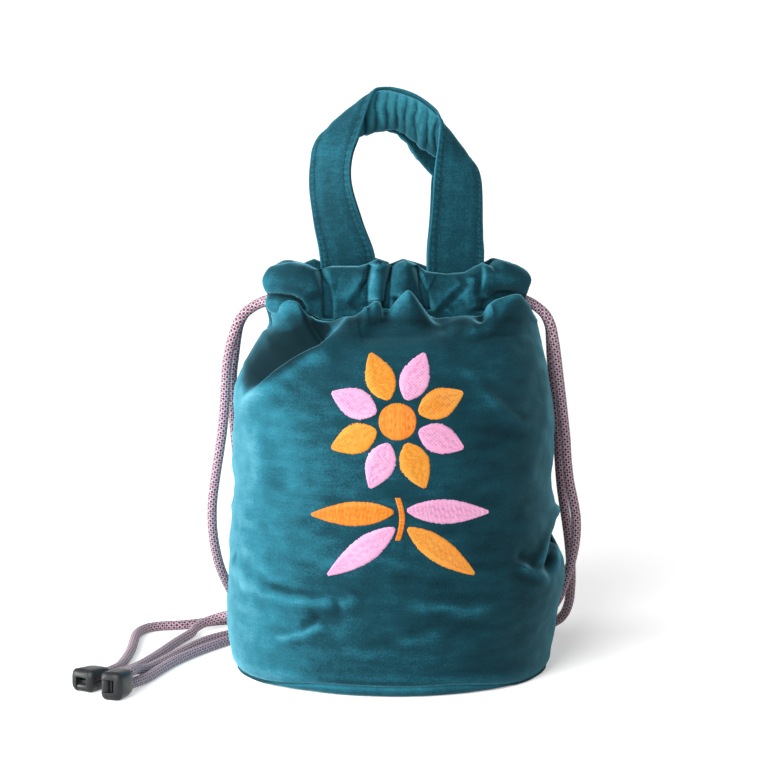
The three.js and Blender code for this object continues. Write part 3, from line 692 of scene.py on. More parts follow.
@dataclass
class Cord:
    """One stretch of braided cord, a tube that follows its route."""

    name: str
    route: Sequence[Point]
    diameter: float = 6.0
    sides: int = 20
    step: float = 1.8

    def line(self) -> Array:
        """The cord's own centre line, in metres."""
        smooth_line = through(self.route)
        return evenly(smooth_line, int(walked(smooth_line)[-1] / (self.step * MM)))

    def build(self, finishes: Finishes) -> tuple[Piece, Array, float]:
        """Makes the tube.

        Args:
            finishes: the bag's materials.

        Returns:
            The piece, its centre line and its length in metres.
        """
        line = self.line()
        ways = unit(np.gradient(line, axis=0))
        across = np.zeros_like(ways)
        first = np.cross(ways[0], [0.3, 0.2, 1.0])
        across[0] = first / np.linalg.norm(first)
        for k in range(1, len(ways)):
            turned = across[k - 1] - ways[k] * np.dot(across[k - 1], ways[k])
            across[k] = turned / np.linalg.norm(turned)
        other = np.cross(ways, across)
        radius = self.diameter / 2 * MM

        def place(u: Array, v: Array) -> Array:
            """Gives the tube's places.

            Args:
                u: the shares along it.
                v: the shares round it.

            Returns:
                The places in metres, one row each.
            """
            k = np.rint(u * (len(line) - 1)).astype(int)
            turn = 2 * math.pi * v
            return line[k] + radius * (np.cos(turn)[:, None] * across[k]
                                       + np.sin(turn)[:, None] * other[k])

        piece = grid_piece(f"{self.name}_braid", len(line) - 1, self.sides, place, closed=True)
        length = float(walked(line)[-1])
        for loop in piece.data.uv_layers[0].data:
            loop.uv = (loop.uv[0] * length / MM, loop.uv[1])
        cap_ends(piece)
        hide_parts(self.name)
        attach(piece, "bag")
        dress(piece, finishes.cord)
        return piece, line, length


def cap_ends(piece: Piece) -> None:
    """Closes a tube's open ends with a flat melted cap each.

    Args:
        piece: the tube.
    """
    tube = bmesh.new()
    tube.from_mesh(piece.data)
    rims = [edge for edge in tube.edges if edge.is_boundary]
    bmesh.ops.edgeloop_fill(tube, edges=rims)
    bmesh.ops.recalc_face_normals(tube, faces=tube.faces[:])
    for face in tube.faces:
        face.smooth = len(face.verts) == 4
    tube.to_mesh(piece.data)
    tube.free()


@dataclass
class Drawstrings:
    """Two drawstrings: each has two free strands and the stretch that the casing holds."""

    def build(self, finishes: Finishes) -> None:
        """Args:
            finishes: the bag's materials.
        """
        Cord("drawstring_left_held", self._held(HELD_HALF, -1)).build(finishes)
        level = [(x, y, HELD_LEVEL) for x, y, _ in HELD_HALF]
        Cord("drawstring_right_held", self._held(level, 1)).build(finishes)
        for name, (clip, route) in STRAND_ROUTES.items():
            piece, line, length = Cord(name, in_metres(route)).build(finishes)
            log.info("%s is %.0f mm long", name, length / MM)

    @staticmethod
    def _held(half: Sequence[Sequence[int]], side: int) -> list[Point]:
        """A held drawstring's whole way.

        Args:
            half: its front half, from the slit to the far side, as on the left.
            side: -1 for the left drawstring, 1 for the right one, which is its mirror image.

        Returns:
            The way round the mouth and back, in metres.
        """
        back = [(x, -y, z) for x, y, z in reversed(half)]
        return in_metres([(-side * x, y, z) for x, y, z in (*half, (680, 0, HELD_LEVEL), *back)])


def in_metres(rows: Sequence[Sequence[int]]) -> list[Point]:
    """Turns places in tenths of a millimetre into metres."""
    return [tuple(value / TENTHS_PER_METRE for value in row) for row in rows]


HELD_LEVEL = 2174
# The cords' ways, in tenths of a millimetre. A held drawstring goes once round the mouth, and
# this is the front half of the left one's way, from its slit to the far side
HELD_HALF = (
    (-715, -137, 2177), (-642, -223, 2184), (-542, -273, 2194), (-434, -281, 2206),
    (-335, -277, 2219), (-236, -271, 2231), (-136, -263, 2239), (-37, -254, 2244),
    (63, -244, 2243), (162, -235, 2237), (261, -228, 2228), (361, -222, 2216), (460, -218, 2203),
    (545, -201, 2191), (616, -154, 2182), (663, -83, 2176))

# Each free strand's way from the casing to its clip, and that clip's letter
STRAND_ROUTES = {
    "left_front_strand": ("a", (
        (-717, -134, 2174), (-731, -107, 2174), (-752, -81, 2170), (-786, -57, 2160),
        (-834, -45, 2138), (-889, -46, 2097), (-928, -49, 2046), (-956, -36, 1974),
        (-982, -2, 1890), (-1002, 40, 1790), (-1014, 90, 1670), (-1026, 145, 1530),
        (-1042, 200, 1390), (-1066, 250, 1240), (-1094, 300, 1080), (-1116, 350, 930),
        (-1123, 410, 780), (-1112, 480, 630), (-1086, 555, 490), (-1044, 650, 360),
        (-998, 767, 243), (-969, 882, 162), (-1016, 980, 122), (-1108, 1020, 92),
        (-1198, 992, 67), (-1267, 886, 45), (-1284, 763, 36), (-1326, 620, 31), (-1366, 450, 31),
        (-1412, 220, 31), (-1460, 0, 31), (-1516, -230, 34), (-1560, -420, 50), (-1615, -597, 66),
        (-1650, -646, 66), (-1717, -742, 66))),
    "left_rear_strand": ("a", (
        (-717, 134, 2174), (-731, 107, 2174), (-753, 80, 2170), (-789, 53, 2159),
        (-836, 41, 2136), (-890, 51, 2095), (-929, 86, 2032), (-950, 129, 1946),
        (-965, 164, 1844), (-982, 210, 1725), (-986, 270, 1580), (-982, 340, 1420),
        (-972, 410, 1250), (-963, 490, 1070), (-956, 570, 880), (-948, 650, 700),
        (-934, 735, 520), (-912, 815, 365), (-886, 905, 235), (-860, 1014, 140), (-880, 1124, 78),
        (-956, 1208, 42), (-1070, 1226, 31), (-1184, 1176, 31), (-1286, 1096, 31),
        (-1388, 1046, 31), (-1490, 1020, 31), (-1574, 958, 31), (-1614, 854, 31),
        (-1628, 710, 31), (-1622, 550, 31), (-1610, 240, 31), (-1614, -30, 31), (-1626, -280, 40),
        (-1673, -557, 66), (-1707, -606, 66), (-1774, -702, 66))),
    "right_front_strand": ("b", (
        (717, -134, 2174), (731, -107, 2174), (752, -81, 2169), (783, -56, 2157),
        (824, -42, 2132), (873, -42, 2087), (904, -42, 2024), (924, -20, 1940), (942, 20, 1840),
        (960, 66, 1720), (978, 110, 1600), (996, 150, 1470), (1014, 190, 1330), (1026, 224, 1190),
        (1044, 254, 1060), (1070, 280, 945), (1090, 310, 830), (1092, 350, 705), (1074, 410, 565),
        (1044, 480, 430), (1008, 565, 300), (950, 670, 190), (860, 785, 108), (720, 895, 55),
        (500, 1000, 33), (200, 1065, 31), (-150, 1070, 31), (-500, 985, 31), (-770, 840, 31),
        (-930, 695, 31), (-1035, 555, 31), (-1135, 370, 31), (-1240, 140, 31), (-1330, -110, 31),
        (-1390, -340, 31), (-1436, -530, 32), (-1509, -769, 46), (-1529, -825, 46),
        (-1569, -935, 46))),
    "right_rear_strand": ("b", (
        (717, 134, 2174), (731, 107, 2174), (752, 80, 2169), (784, 53, 2156), (826, 39, 2130),
        (874, 44, 2084), (906, 82, 2014), (918, 138, 1922), (926, 188, 1826), (940, 234, 1710),
        (958, 280, 1570), (974, 330, 1420), (986, 376, 1270), (998, 416, 1120), (1014, 450, 980),
        (1036, 486, 850), (1058, 526, 720), (1076, 574, 590), (1088, 634, 460), (1092, 702, 335),
        (1086, 780, 220), (1054, 864, 124), (986, 944, 62), (876, 1014, 34), (700, 1080, 31),
        (450, 1140, 31), (150, 1170, 31), (-150, 1165, 31), (-480, 1100, 31), (-760, 980, 31),
        (-945, 850, 31), (-1070, 710, 31), (-1185, 525, 31), (-1295, 220, 31), (-1364, 0, 31),
        (-1426, -210, 33), (-1470, -400, 52), (-1493, -570, 90), (-1509, -769, 116),
        (-1529, -825, 116), (-1569, -935, 116))),
}


# ---- the bag's wall


@dataclass(frozen=True)
class Fold:
    """One fold of the wall: a ridge if it stands out, a trough if its height is negative.

    Attributes:
        line: the places it runs through, as the way across the wall and the height above the floor.
        height: how far its ridge stands out.
        width: how far its flanks reach.
        lean: above 0 the flank on the right of its way is wider, below 0 the left one.
        fade: the shares of its length over which it dies away at its start and its end.
    """

    line: Sequence[Pair]
    height: float
    width: float
    lean: float = 0.0
    fade: Pair = (0.3, 0.3)

    def rise(self, across: Array, up: Array) -> Array:
        """How far the fold lifts each place of the wall.

        Args:
            across: the way across the wall, from its middle.
            up: the height above the floor.

        Returns:
            The lift of each place, in millimetres.
        """
        points = np.asarray(self.line, float)
        spans = np.diff(points, axis=0)
        lengths = np.linalg.norm(spans, axis=1)
        whole = lengths.sum()
        best = np.full(across.shape, 1e9)
        side = np.zeros_like(best)
        share = np.zeros_like(best)
        before = 0.0
        for start, span, length in zip(points, spans, lengths):
            off_x, off_z = across - start[0], up - start[1]
            along = np.clip((off_x * span[0] + off_z * span[1]) / length**2, 0, 1)
            away = np.hypot(off_x - along * span[0], off_z - along * span[1])
            nearer = away < best
            best = np.where(nearer, away, best)
            side = np.where(nearer, np.sign(off_x * span[1] - off_z * span[0]), side)
            share = np.where(nearer, (before + along * length) / whole, share)
            before += length
        reach = self.width * (1 + self.lean * side)
        first, last = (max(length, 1e-3) for length in self.fade)
        ends = smooth(share / first) * smooth((1 - share) / last)
        return self.height * np.exp(-((best / reach) ** 2)) * ends


@dataclass
class Wall:
    """The round velveteen wall, from the base seam to the seam under the casing."""

    profile: Sequence[Point] = (
        (BASE_RADIUS, 0, BASE_SEAM), (101, 0, 42), (97.65, 0, 96), (95.5, 0, 150), (76, 10, 190),
        (31.4, 45.5, 210.7))
    left: Sequence[Pair] = (
        (0, 94), (6, 95.4), (18, 99.4), (34, 101.2), (54, 100.2), (76, 99), (108, 95.8),
        (126, 96.6), (146, 96.6), (165, 95.4), (176, 91), (190, 82.2), (203, 71.6), (211, 69.5))
    right: Sequence[Pair] = (
        (0, 89), (6, 89.4), (12, 91), (20, 93.6), (32, 95.8), (44, 98), (56, 100.2), (68, 98),
        (81, 92.4), (94, 93.8), (108, 92.4), (126, 92.6), (150, 92.8), (171, 88.6), (183, 86.8),
        (200, 83), (207, 80.2), (211, 75.5))
    front_folds: Sequence[Fold] = ()
    back_folds: Sequence[Fold] = ()
    front_crest: Sequence[Pair] = ()
    back_crest: Sequence[Pair] = ()
    half_girth: float = 150.0
    panel_height: float = 240.0
    billow_from: float = 0.83
    billow_top: float = 0.75
    billow_level: float = 0.77
    billow_softness: float = 4.0
    crest_blur: float = 7.0
    mouth_straight: float = 46.5
    sag: float = 4.8

    def __post_init__(self) -> None:
        """Samples the profile by its own length, and the outlines by height."""
        self._line = evenly(through(self.profile), 400)
        self._outline = {sign: through(rows, 12)
                         for sign, rows in ((-1, self.left), (1, self.right))}
        half, per_mm = 96, 4
        self._across = np.linspace(-half, half, 2 * half * per_mm + 1)
        steps = np.arange(-20 * per_mm, 20 * per_mm + 1)
        widths = np.exp(-((steps / per_mm / self.crest_blur) ** 2))
        self._crests = {}
        for side, rows in ((Side.FRONT, self.front_crest), (Side.BACK, self.back_crest)):
            line = through(rows, 12)
            sharp = np.interp(self._across, line[:, 0], line[:, 1])
            padded = np.pad(sharp, 20 * per_mm, "edge")
            wide = np.convolve(padded, widths / widths.sum(), "valid")
            self._crests[side] = sharp, wide

    def level(self, v: Array) -> tuple[Array, Array, Array]:
        """The end radius, half straight and height at a share v of the profile.

        Args:
            v: from 0 at the base seam to 1 at the casing's seam.

        Returns:
            The three measures of each place, in millimetres.
        """
        at = v * (len(self._line) - 1)
        index = np.arange(len(self._line))
        return tuple(np.interp(at, index, self._line[:, k]) for k in range(3))

    def spot(self, side: Side, t: Array, v: Array) -> tuple[Array, Array]:
        """Places on the unfolded wall, with the way across it for the folds.

        Args:
            side: the front or the back panel.
            t: from -1 at the left side seam to 1 at the right one.
            v: from 0 at the base seam to 1 at the casing's seam.

        Returns:
            The places, and the way across the wall from the middle, both in millimetres.
        """
        radius, straight, height = self.level(v)
        along = np.abs(t) * (radius * math.pi / 2 + straight)
        turn = np.maximum(0, along - straight) / radius
        x = np.sign(t) * (np.minimum(along, straight) + radius * np.sin(turn))
        y = side.value * radius * np.cos(turn)
        half = np.where(x < 0, np.interp(height, self._outline[-1][:, 0], self._outline[-1][:, 1]),
                        np.interp(height, self._outline[1][:, 0], self._outline[1][:, 1]))
        x = x * half / (radius + straight)
        return np.stack([x, y, height], axis=1), x

    def surface(self, side: Side, t: Array, v: Array, depth: float = 0.0) -> Array:
        """Places on the folded wall, pushed inwards by depth, in millimetres.

        Args:
            side: the front or the back panel.
            t: from -1 at the left side seam to 1 at the right one.
            v: from 0 at the base seam to 1 at the casing's seam.
            depth: how far inside the outer face they lie.

        Returns:
            The places, one row each.
        """
        small = 2e-3
        places, across = self.spot(side, t, v)
        right, _ = self.spot(side, np.minimum(t + small, 1), v)
        left, _ = self.spot(side, np.maximum(t - small, -1), v)
        above, _ = self.spot(side, t, np.minimum(v + small, 1))
        below, _ = self.spot(side, t, np.maximum(v - small, 0))
        normal = unit(np.cross(right - left, above - below) * side.value * -1)
        lift = self.relief(side, places, across, t, v)
        places = places + normal * (lift - depth)[:, None]
        places[:, 2] -= self.sink(places[:, 0]) * np.exp(-(places[:, 2] - BASE_SEAM) / 9)
        return places + self.puffs(side, places, across, v)

    def sink(self, across: Array) -> Array:
        """How far the wall sags over the base's seam, towards both sides of the bag."""
        return self.sag * smooth((np.abs(across + 4) - 32) / 46)

    def relief(self, side: Side, places: Array, across: Array, t: Array, v: Array) -> Array:
        """How far folds, gathers and soft dents move the wall out.

        Args:
            side: the front or the back panel.
            places: places on the unfolded wall.
            across: the way across the wall for the folds.
            t: from -1 at the left side seam to 1 at the right one.
            v: from 0 at the base seam to 1 at the casing's seam.

        Returns:
            The way out at each place, in millimetres.
        """
        up = places[:, 2]
        folds = self.front_folds if side is Side.FRONT else self.back_folds
        lift = sum((fold.rise(across, up) for fold in folds), np.zeros_like(up))
        below_seam = 1 - v
        lift = lift * smooth(below_seam / 0.07)
        if side is Side.BACK:
            lift = lift + self._gathers(t, v)
        broad, fine = wander(places, (60, 60, 26), 3.1), wander(places, (14, 14, 11), 7.7, 2)
        lift = lift + 1.3 * broad * smooth(below_seam / 0.15) * smooth(v / 0.1)
        lift = lift + 0.22 * fine * smooth(below_seam / 0.1)
        from_side, from_base = (1 - np.abs(t)) * self.half_girth, v * self.panel_height
        seam = 1.6 * np.exp(-(from_side / 2.2))
        tuck = 1.5 * np.exp(-(from_base / 1.1)) - 0.7 * bump(from_base, 4.0, 3.0)
        return lift - seam - tuck

    @staticmethod
    def _gathers(t: Array, v: Array) -> Array:
        """Pleats under the casing's seam, which run down and die away.

        Args:
            t: from -1 at the left side seam to 1 at the right one.
            v: from 0 at the base seam to 1 at the casing's seam.

        Returns:
            The way out at each place, in millimetres.
        """
        wave = np.zeros_like(t)
        rng = random.Random(11)
        pleats, span = 11, 1.84
        for k in range(pleats):
            middle = -span / 2 + span * k / (pleats - 1) + rng.uniform(-0.05, 0.05)
            length = rng.uniform(0.16, 0.4)
            height = rng.uniform(1.8, 3.6)
            drift = rng.uniform(-0.12, 0.12)
            down = (1 - v) / length
            wave += height * bump(t - drift * down, middle, 0.045 + 0.03 * down) * np.exp(-down**2)
        return wave * smooth((1 - v) / 0.03)

    def puffs(self, side: Side, places: Array, across: Array, v: Array) -> Array:
        """Cloth that billows up in front of the casing's seam before it turns back into it.

        Args:
            side: the front or the back panel.
            places: places on the folded wall.
            across: the way across the wall for the crests.
            v: from 0 at the base seam to 1 at the casing's seam.

        Returns:
            How far each place moves, one row each.
        """
        past = np.clip((v - self.billow_from) / (1 - self.billow_from), 0, 1)
        rise = smooth(past / self.billow_top)
        back = smooth((1 - past) / 0.22)
        level = self.billow_from + (1 - self.billow_from) * self.billow_level
        natural = self.level(np.array([level]))[2][0]
        sharp, wide = (np.interp(across, self._across, line) - natural
                       for line in self._crests[side])
        near = smooth((past - 0.25) / 0.45)
        amount = wide + (sharp - wide) * near
        outward = places[:, :2].copy()
        outward[:, 0] -= np.clip(places[:, 0], -self.mouth_straight, self.mouth_straight)
        outward = unit(outward)
        inwards = smooth((past - 0.86) / 0.14)
        out = np.zeros((len(v), 3))
        swollen = (amount + np.sqrt(amount**2 + self.billow_softness**2)) / 2
        forward = 0.5 * swollen * rise * back + 1.5 * bump(past, 0.7, 0.22)
        out[:, :2] = outward * (forward - 1.6 * inwards)[:, None]
        out[:, 2] = rise * np.where(amount > 0, amount * back, amount) - 1.4 * inwards
        return out


FRONT_FOLDS = (
    # the light rim that runs from under the first peak down to the left edge, and its dark hollow
    Fold([(-17, 208), (-24, 206), (-32, 201), (-37, 198), (-42, 193), (-50, 189.5), (-58, 185),
          (-66, 180), (-77, 168), (-87, 160), (-95, 156)], 4.6, 5.5, -0.35, (0.15, 0.2)),
    Fold([(-38, 209), (-41, 203), (-46, 198), (-52, 195), (-61, 190), (-71, 183), (-81, 174),
          (-90, 167)], -8.0, 6.5, 0.35, (0.12, 0.25)),
    Fold([(-58, 207), (-64, 202), (-72, 194), (-80, 184)], 2.5, 7, 0, (0.2, 0.4)),
    Fold([(-73, 204), (-81, 196), (-86, 184), (-90, 171)], 3.0, 8.5, 0, (0.2, 0.3)),
    # ridges that fall from the two peaks in the middle
    Fold([(-12, 212), (-19, 208), (-27, 205), (-34, 201)], 2.0, 4.5, 0, (0.2, 0.5)),
    Fold([(-2, 215), (-8, 210), (-13, 206), (-19, 203), (-27, 200)], 3.0, 3.6, 0.3, (0.15, 0.4)),
    Fold([(-18, 207), (-12, 208), (-9, 211)], -2.6, 3.2, 0, (0.2, 0.1)),
    Fold([(-4, 203.5), (8, 204.5), (19, 205), (26, 206)], 1.6, 3.2, -0.3, (0.4, 0.3)),
    # the shelf under the right foot, and the light sweep beside the right puff
    Fold([(26, 203), (36, 204.5), (46, 204)], 1.6, 4.5, 0, (0.3, 0.2)),
    Fold([(50, 212), (49, 206), (50, 202.5)], -3.2, 3.0, 0, (0.15, 0.3)),
    Fold([(34, 200.5), (44, 200.5), (51, 201.5), (58, 204), (64, 207), (71, 212)], 3.4, 2.8, -0.4,
         (0.3, 0.15)),
    Fold([(52, 206), (58, 209), (66, 214)], -2.4, 3.2, 0, (0.1, 0.3)),
    Fold([(24, 190), (45, 193), (62, 190)], -1.2, 10),
    # long soft pulls across the right of the wall
    Fold([(30, 189), (43, 177), (52, 165), (60, 152)], 1.0, 4.5, 0, (0.3, 0.4)),
    Fold([(42, 172), (57, 160), (69, 150), (82, 148)], 1.3, 4, 0.3),
    Fold([(40, 160), (58, 148), (72, 139)], -1.1, 8, 0, (0.4, 0.4)),
    Fold([(84, 184), (87, 162), (88, 142)], 1.1, 4),
    # the left of the wall: an upright light band with a shallow trough beside it
    Fold([(-80, 158), (-79, 135), (-77, 116), (-73, 98)], 1.6, 6, 0, (0.4, 0.4)),
    Fold([(-66, 150), (-66, 122), (-64, 100)], -1.0, 7, 0, (0.4, 0.4)),
    Fold([(-97, 99), (-87, 93), (-77, 90)], 1.0, 5, 0, (0.1, 0.5)),
    Fold([(-96, 70), (-88, 68), (-78, 64)], -1.4, 5, 0, (0.1, 0.5)),
    # level slumps low on the wall
    Fold([(-48, 76), (-30, 79), (-12, 79), (4, 77), (14, 81)], 1.1, 6.5, -0.3, (0.35, 0.3)),
    Fold([(-10, 66), (6, 66), (26, 66), (44, 66)], -1.3, 8),
    Fold([(-92, 54), (-79, 56), (-61, 54), (-42, 54.5), (-31, 53)], 1.6, 5.5, -0.2, (0.1, 0.15)),
    Fold([(-34, 53), (-26, 55), (-24, 62)], 1.2, 4.2),
    Fold([(-80, 66), (-72, 60.5), (-60, 58.5), (-35, 58)], -0.9, 3.2, 0.4),
    Fold([(-54, 46), (-42, 47), (-26, 48)], -1.0, 5.5),
    Fold([(-4, 53), (10, 53), (24, 53), (38, 50), (52, 50), (62, 47)], 1.3, 4.6),
    Fold([(0, 44), (24, 42), (44, 41), (64, 41)], -1.2, 5.5, 0, (0.4, 0.4)),
    Fold([(-71, 30), (-61, 32.5), (-52, 35.5), (-45, 40), (-41, 44)], 1.3, 3.0, 0.3, (0.3, 0.15)),
    Fold([(-56, 40), (-48, 43), (-42, 48)], -0.9, 3.6),
    Fold([(-6, 33), (8, 33), (22, 37), (34, 40)], 1.1, 4.6, 0, (0.3, 0.4)),
    # the pinched notch at the right edge
    Fold([(95, 98), (90, 86), (84, 74), (80, 65)], 2.6, 3.4, 0, (0.1, 0.2)),
    Fold([(98, 90), (94, 80), (89, 70), (84, 62)], -4.6, 3.4, 0.2, (0.05, 0.3)),
    Fold([(90, 78), (93, 68), (91, 60)], 1.4, 2.6, 0, (0.2, 0.4)),
    Fold([(65, 72), (74, 67), (88, 58)], 1.9, 2.8),
    Fold([(66, 78), (74, 73), (79, 68)], -1.6, 3.4, 0, (0.3, 0.2)),
)

# The upper edge of the cloth in front of the casing: across the bag, and above the floor
FRONT_CREST = (
    (-95, 206), (-80, 206), (-75, 207), (-70, 210), (-64, 215.5), (-59, 218.6), (-55.5, 218),
    (-52.5, 213), (-47, 206.5), (-39, 205), (-33, 207), (-29, 208.4), (-25, 207.6), (-21, 210.4),
    (-16.5, 215), (-12.6, 218.4),
    (-9.6, 217.5), (-7.8, 212.5), (-5.4, 212.5), (-1.6, 217.6), (2.6, 222.4), (6.2, 225),
    (9.2, 222.6), (13.6, 216.4), (17.8, 210.5), (21, 207.4), (30, 208), (38, 209.4), (45, 209.4),
    (48.4, 211.5), (50.6, 216.5), (54, 220), (60, 221.4), (66, 220.6), (71, 217), (76, 211),
    (80, 207), (95, 206))
BACK_CREST = (
    (-95, 206), (-76, 210), (-64, 220), (-54, 221), (-46, 211), (-38, 209), (-29, 216), (-21, 222),
    (-13, 215), (-6, 209), (4, 211), (13, 219), (20, 218), (27, 210), (36, 211), (45, 220),
    (53, 223), (62, 216), (70, 210), (80, 206), (95, 206))

# Painted light and shade in the front's colour: painted shade over the left shoulder, beside the
# middle, under the casing's seam, in the slumps' creases and above the base's seam, and painted
# highlight along the light rim, on the slumps and on the upper wall
FRONT_PAINTED_LIGHT_AND_SHADE = (
    Fold([(-92, 172), (-79, 176), (-67, 183), (-56, 191), (-46, 198), (-40, 206)], -0.75, 7, -0.42,
         (0.1, 0.02)),
    Fold([(-90, 186), (-78, 190), (-66, 196), (-56, 203)], -0.36, 10, 0, (0.05, 0.3)),
    Fold([(-48, 211), (-45, 205), (-44, 199)], -0.45, 4, 0, (0.1, 0.2)),
    Fold([(-38, 197), (-43, 192), (-58, 186), (-72, 175), (-82, 166), (-92, 161)], 0.17, 5, -0.4,
         (0.2, 0.5)),
    Fold([(-96, 205), (-60, 208), (0, 208), (60, 208), (96, 205)], -0.12, 3.0, 0, (0, 0)),
    Fold([(-74, 62), (-60, 60), (-36, 60)], -0.12, 4),
    Fold([(-52, 44), (-40, 47), (-24, 49)], -0.06, 5),
    Fold([(-22, 68), (-15, 63), (-13, 55)], -0.05, 6),
    Fold([(-50, 20), (-10, 18), (30, 20)], 0.04, 10),
    Fold([(-26, 42), (0, 36), (20, 40)], -0.05, 12),
    Fold([(66, 74), (76, 58), (78, 40)], -0.1, 13),
    Fold([(-40, 190), (0, 192), (48, 186), (70, 160)], 0.08, 16, 0, (0.2, 0.2)),
    Fold([(30, 196), (54, 186), (68, 168), (74, 146)], 0.06, 12, 0, (0.2, 0.3)),
    Fold([(-62, 10), (-30, 9), (0, 8.5), (34, 8.5)], -0.22, 2.6),
)
# Painted contact shadow along the base's bottom edge, where it meets the floor
BASE_PAINTED_SHADOW = (Fold([(-95, 0), (95, 0)], -0.55, 1.5, 0, (0, 0)),)
# Painted highlight over the handle's ruched strip
RUCHE_PAINTED_HIGHLIGHT = (Fold([(-40, 322), (0, 336), (24, 324)], 0.15, 22, 0, (0, 0)),)
# Painted highlight down the strap's right leg
STRAP_PAINTED_HIGHLIGHT = (Fold([(32, 305), (36, 280), (36, 250)], 0.09, 12, 0, (0.2, 0.3)),)
# Painted shade under the back's casing seam, painted lighter on the back's left and darker on its
# right
BACK_PAINTED_LIGHT_AND_SHADE = (
    Fold([(-96, 205), (-60, 208), (0, 208), (60, 208), (96, 205)], -0.3, 3.0, 0, (0, 0)),
    Fold([(-60, 140), (-40, 110), (-50, 70)], 0.14, 20),
    Fold([(50, 150), (60, 110), (40, 60)], -0.12, 22),
)

BACK_FOLDS = (
    Fold([(-60, 205), (-66, 180), (-74, 150), (-70, 120)], 3.0, 9, 0, (0.05, 0.5)),
    Fold([(-40, 206), (-36, 180), (-44, 150)], -3.4, 8, 0, (0.05, 0.5)),
    Fold([(-8, 206), (-2, 176), (-10, 140)], 2.6, 9, 0, (0.05, 0.5)),
    Fold([(20, 205), (28, 178), (22, 152)], -3.0, 8, 0, (0.05, 0.5)),
    Fold([(52, 205), (58, 176), (70, 146)], 2.8, 9, 0, (0.05, 0.5)),
    Fold([(-80, 86), (-50, 78), (-20, 80), (10, 74)], 1.7, 6),
    Fold([(-70, 68), (-40, 62), (0, 62), (30, 56)], -1.6, 7),
    Fold([(-10, 50), (25, 46), (60, 52)], 1.6, 5),
    Fold([(-60, 34), (-30, 30), (10, 32)], 1.3, 5),
    Fold([(30, 110), (52, 98), (76, 96)], 1.4, 6),
    Fold([(88, 100), (84, 82), (76, 66)], -2.4, 6, 0, (0.1, 0.4)),
)


@dataclass
class BagWall:
    """The two wall panels and the lining inside them."""

    wall: Wall
    front_steps: tuple[int, int] = (250, 176)
    back_steps: tuple[int, int] = (190, 132)
    lining_steps: tuple[int, int] = (110, 80)
    lining_depth: float = 2.4
    seam_gap: float = 0.02

    def build(self, finishes: Finishes) -> Piece:
        """Makes the panels.

        Args:
            finishes: the bag's materials.

        Returns:
            The front panel, which the embroidery is stitched on.
        """
        made = {}
        for side, word in ((Side.FRONT, "front"), (Side.BACK, "back")):
            steps = self.front_steps if side is Side.FRONT else self.back_steps
            panel = self._sheet(f"velveteen_{word}", side, steps, 0.0)
            paint_light_and_shade(panel, 0.4, 0.5, FRONT_PAINTED_LIGHT_AND_SHADE if side is Side.FRONT else BACK_PAINTED_LIGHT_AND_SHADE)
            thicken(panel, VELVETEEN_THICKNESS)
            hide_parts(f"body_{word}_panel")
            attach(panel, "bag")
            dress(panel, finishes.velveteen)
            inner = self._sheet(f"lining_{word}", side, self.lining_steps, self.lining_depth)
            thicken(inner, LINING_THICKNESS)
            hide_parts(f"lining_{word}_panel")
            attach(inner, "bag")
            dress(inner, finishes.lining)
            made[side] = panel
            log.info("made %s and its lining", panel.name)
        return made[Side.FRONT]

    def _sheet(self, name: str, side: Side, steps: tuple[int, int], depth: float) -> Piece:
        """One panel as an open sheet that faces outwards.

        Args:
            name: the piece's name.
            side: the front or the back panel.
            steps: how many it has from seam to seam, and up the wall.
            depth: how far inside the wall's outer face it lies, in millimetres.

        Returns:
            The sheet.
        """
        limit = 1 - self.seam_gap / 100

        def place(u: Array, v: Array) -> Array:
            """Gives the panel's places.

            Args:
                u: the shares from the left seam to the right one.
                v: the shares up the wall.

            Returns:
                The places in metres, one row each.
            """
            spots = self.wall.surface(side, (2 * u - 1) * limit, v, depth)
            spots[:, 1] = side.value * np.maximum(side.value * spots[:, 1], self.seam_gap)
            return spots * MM

        sheet = grid_piece(name, *steps, place)
        face_towards(sheet, lambda middle: Vector((0, 0, middle.z)))
        return sheet


CREST_ROUNDS = 14
LEAN_ROUNDS = 3
CREST_LIMIT = 0.35


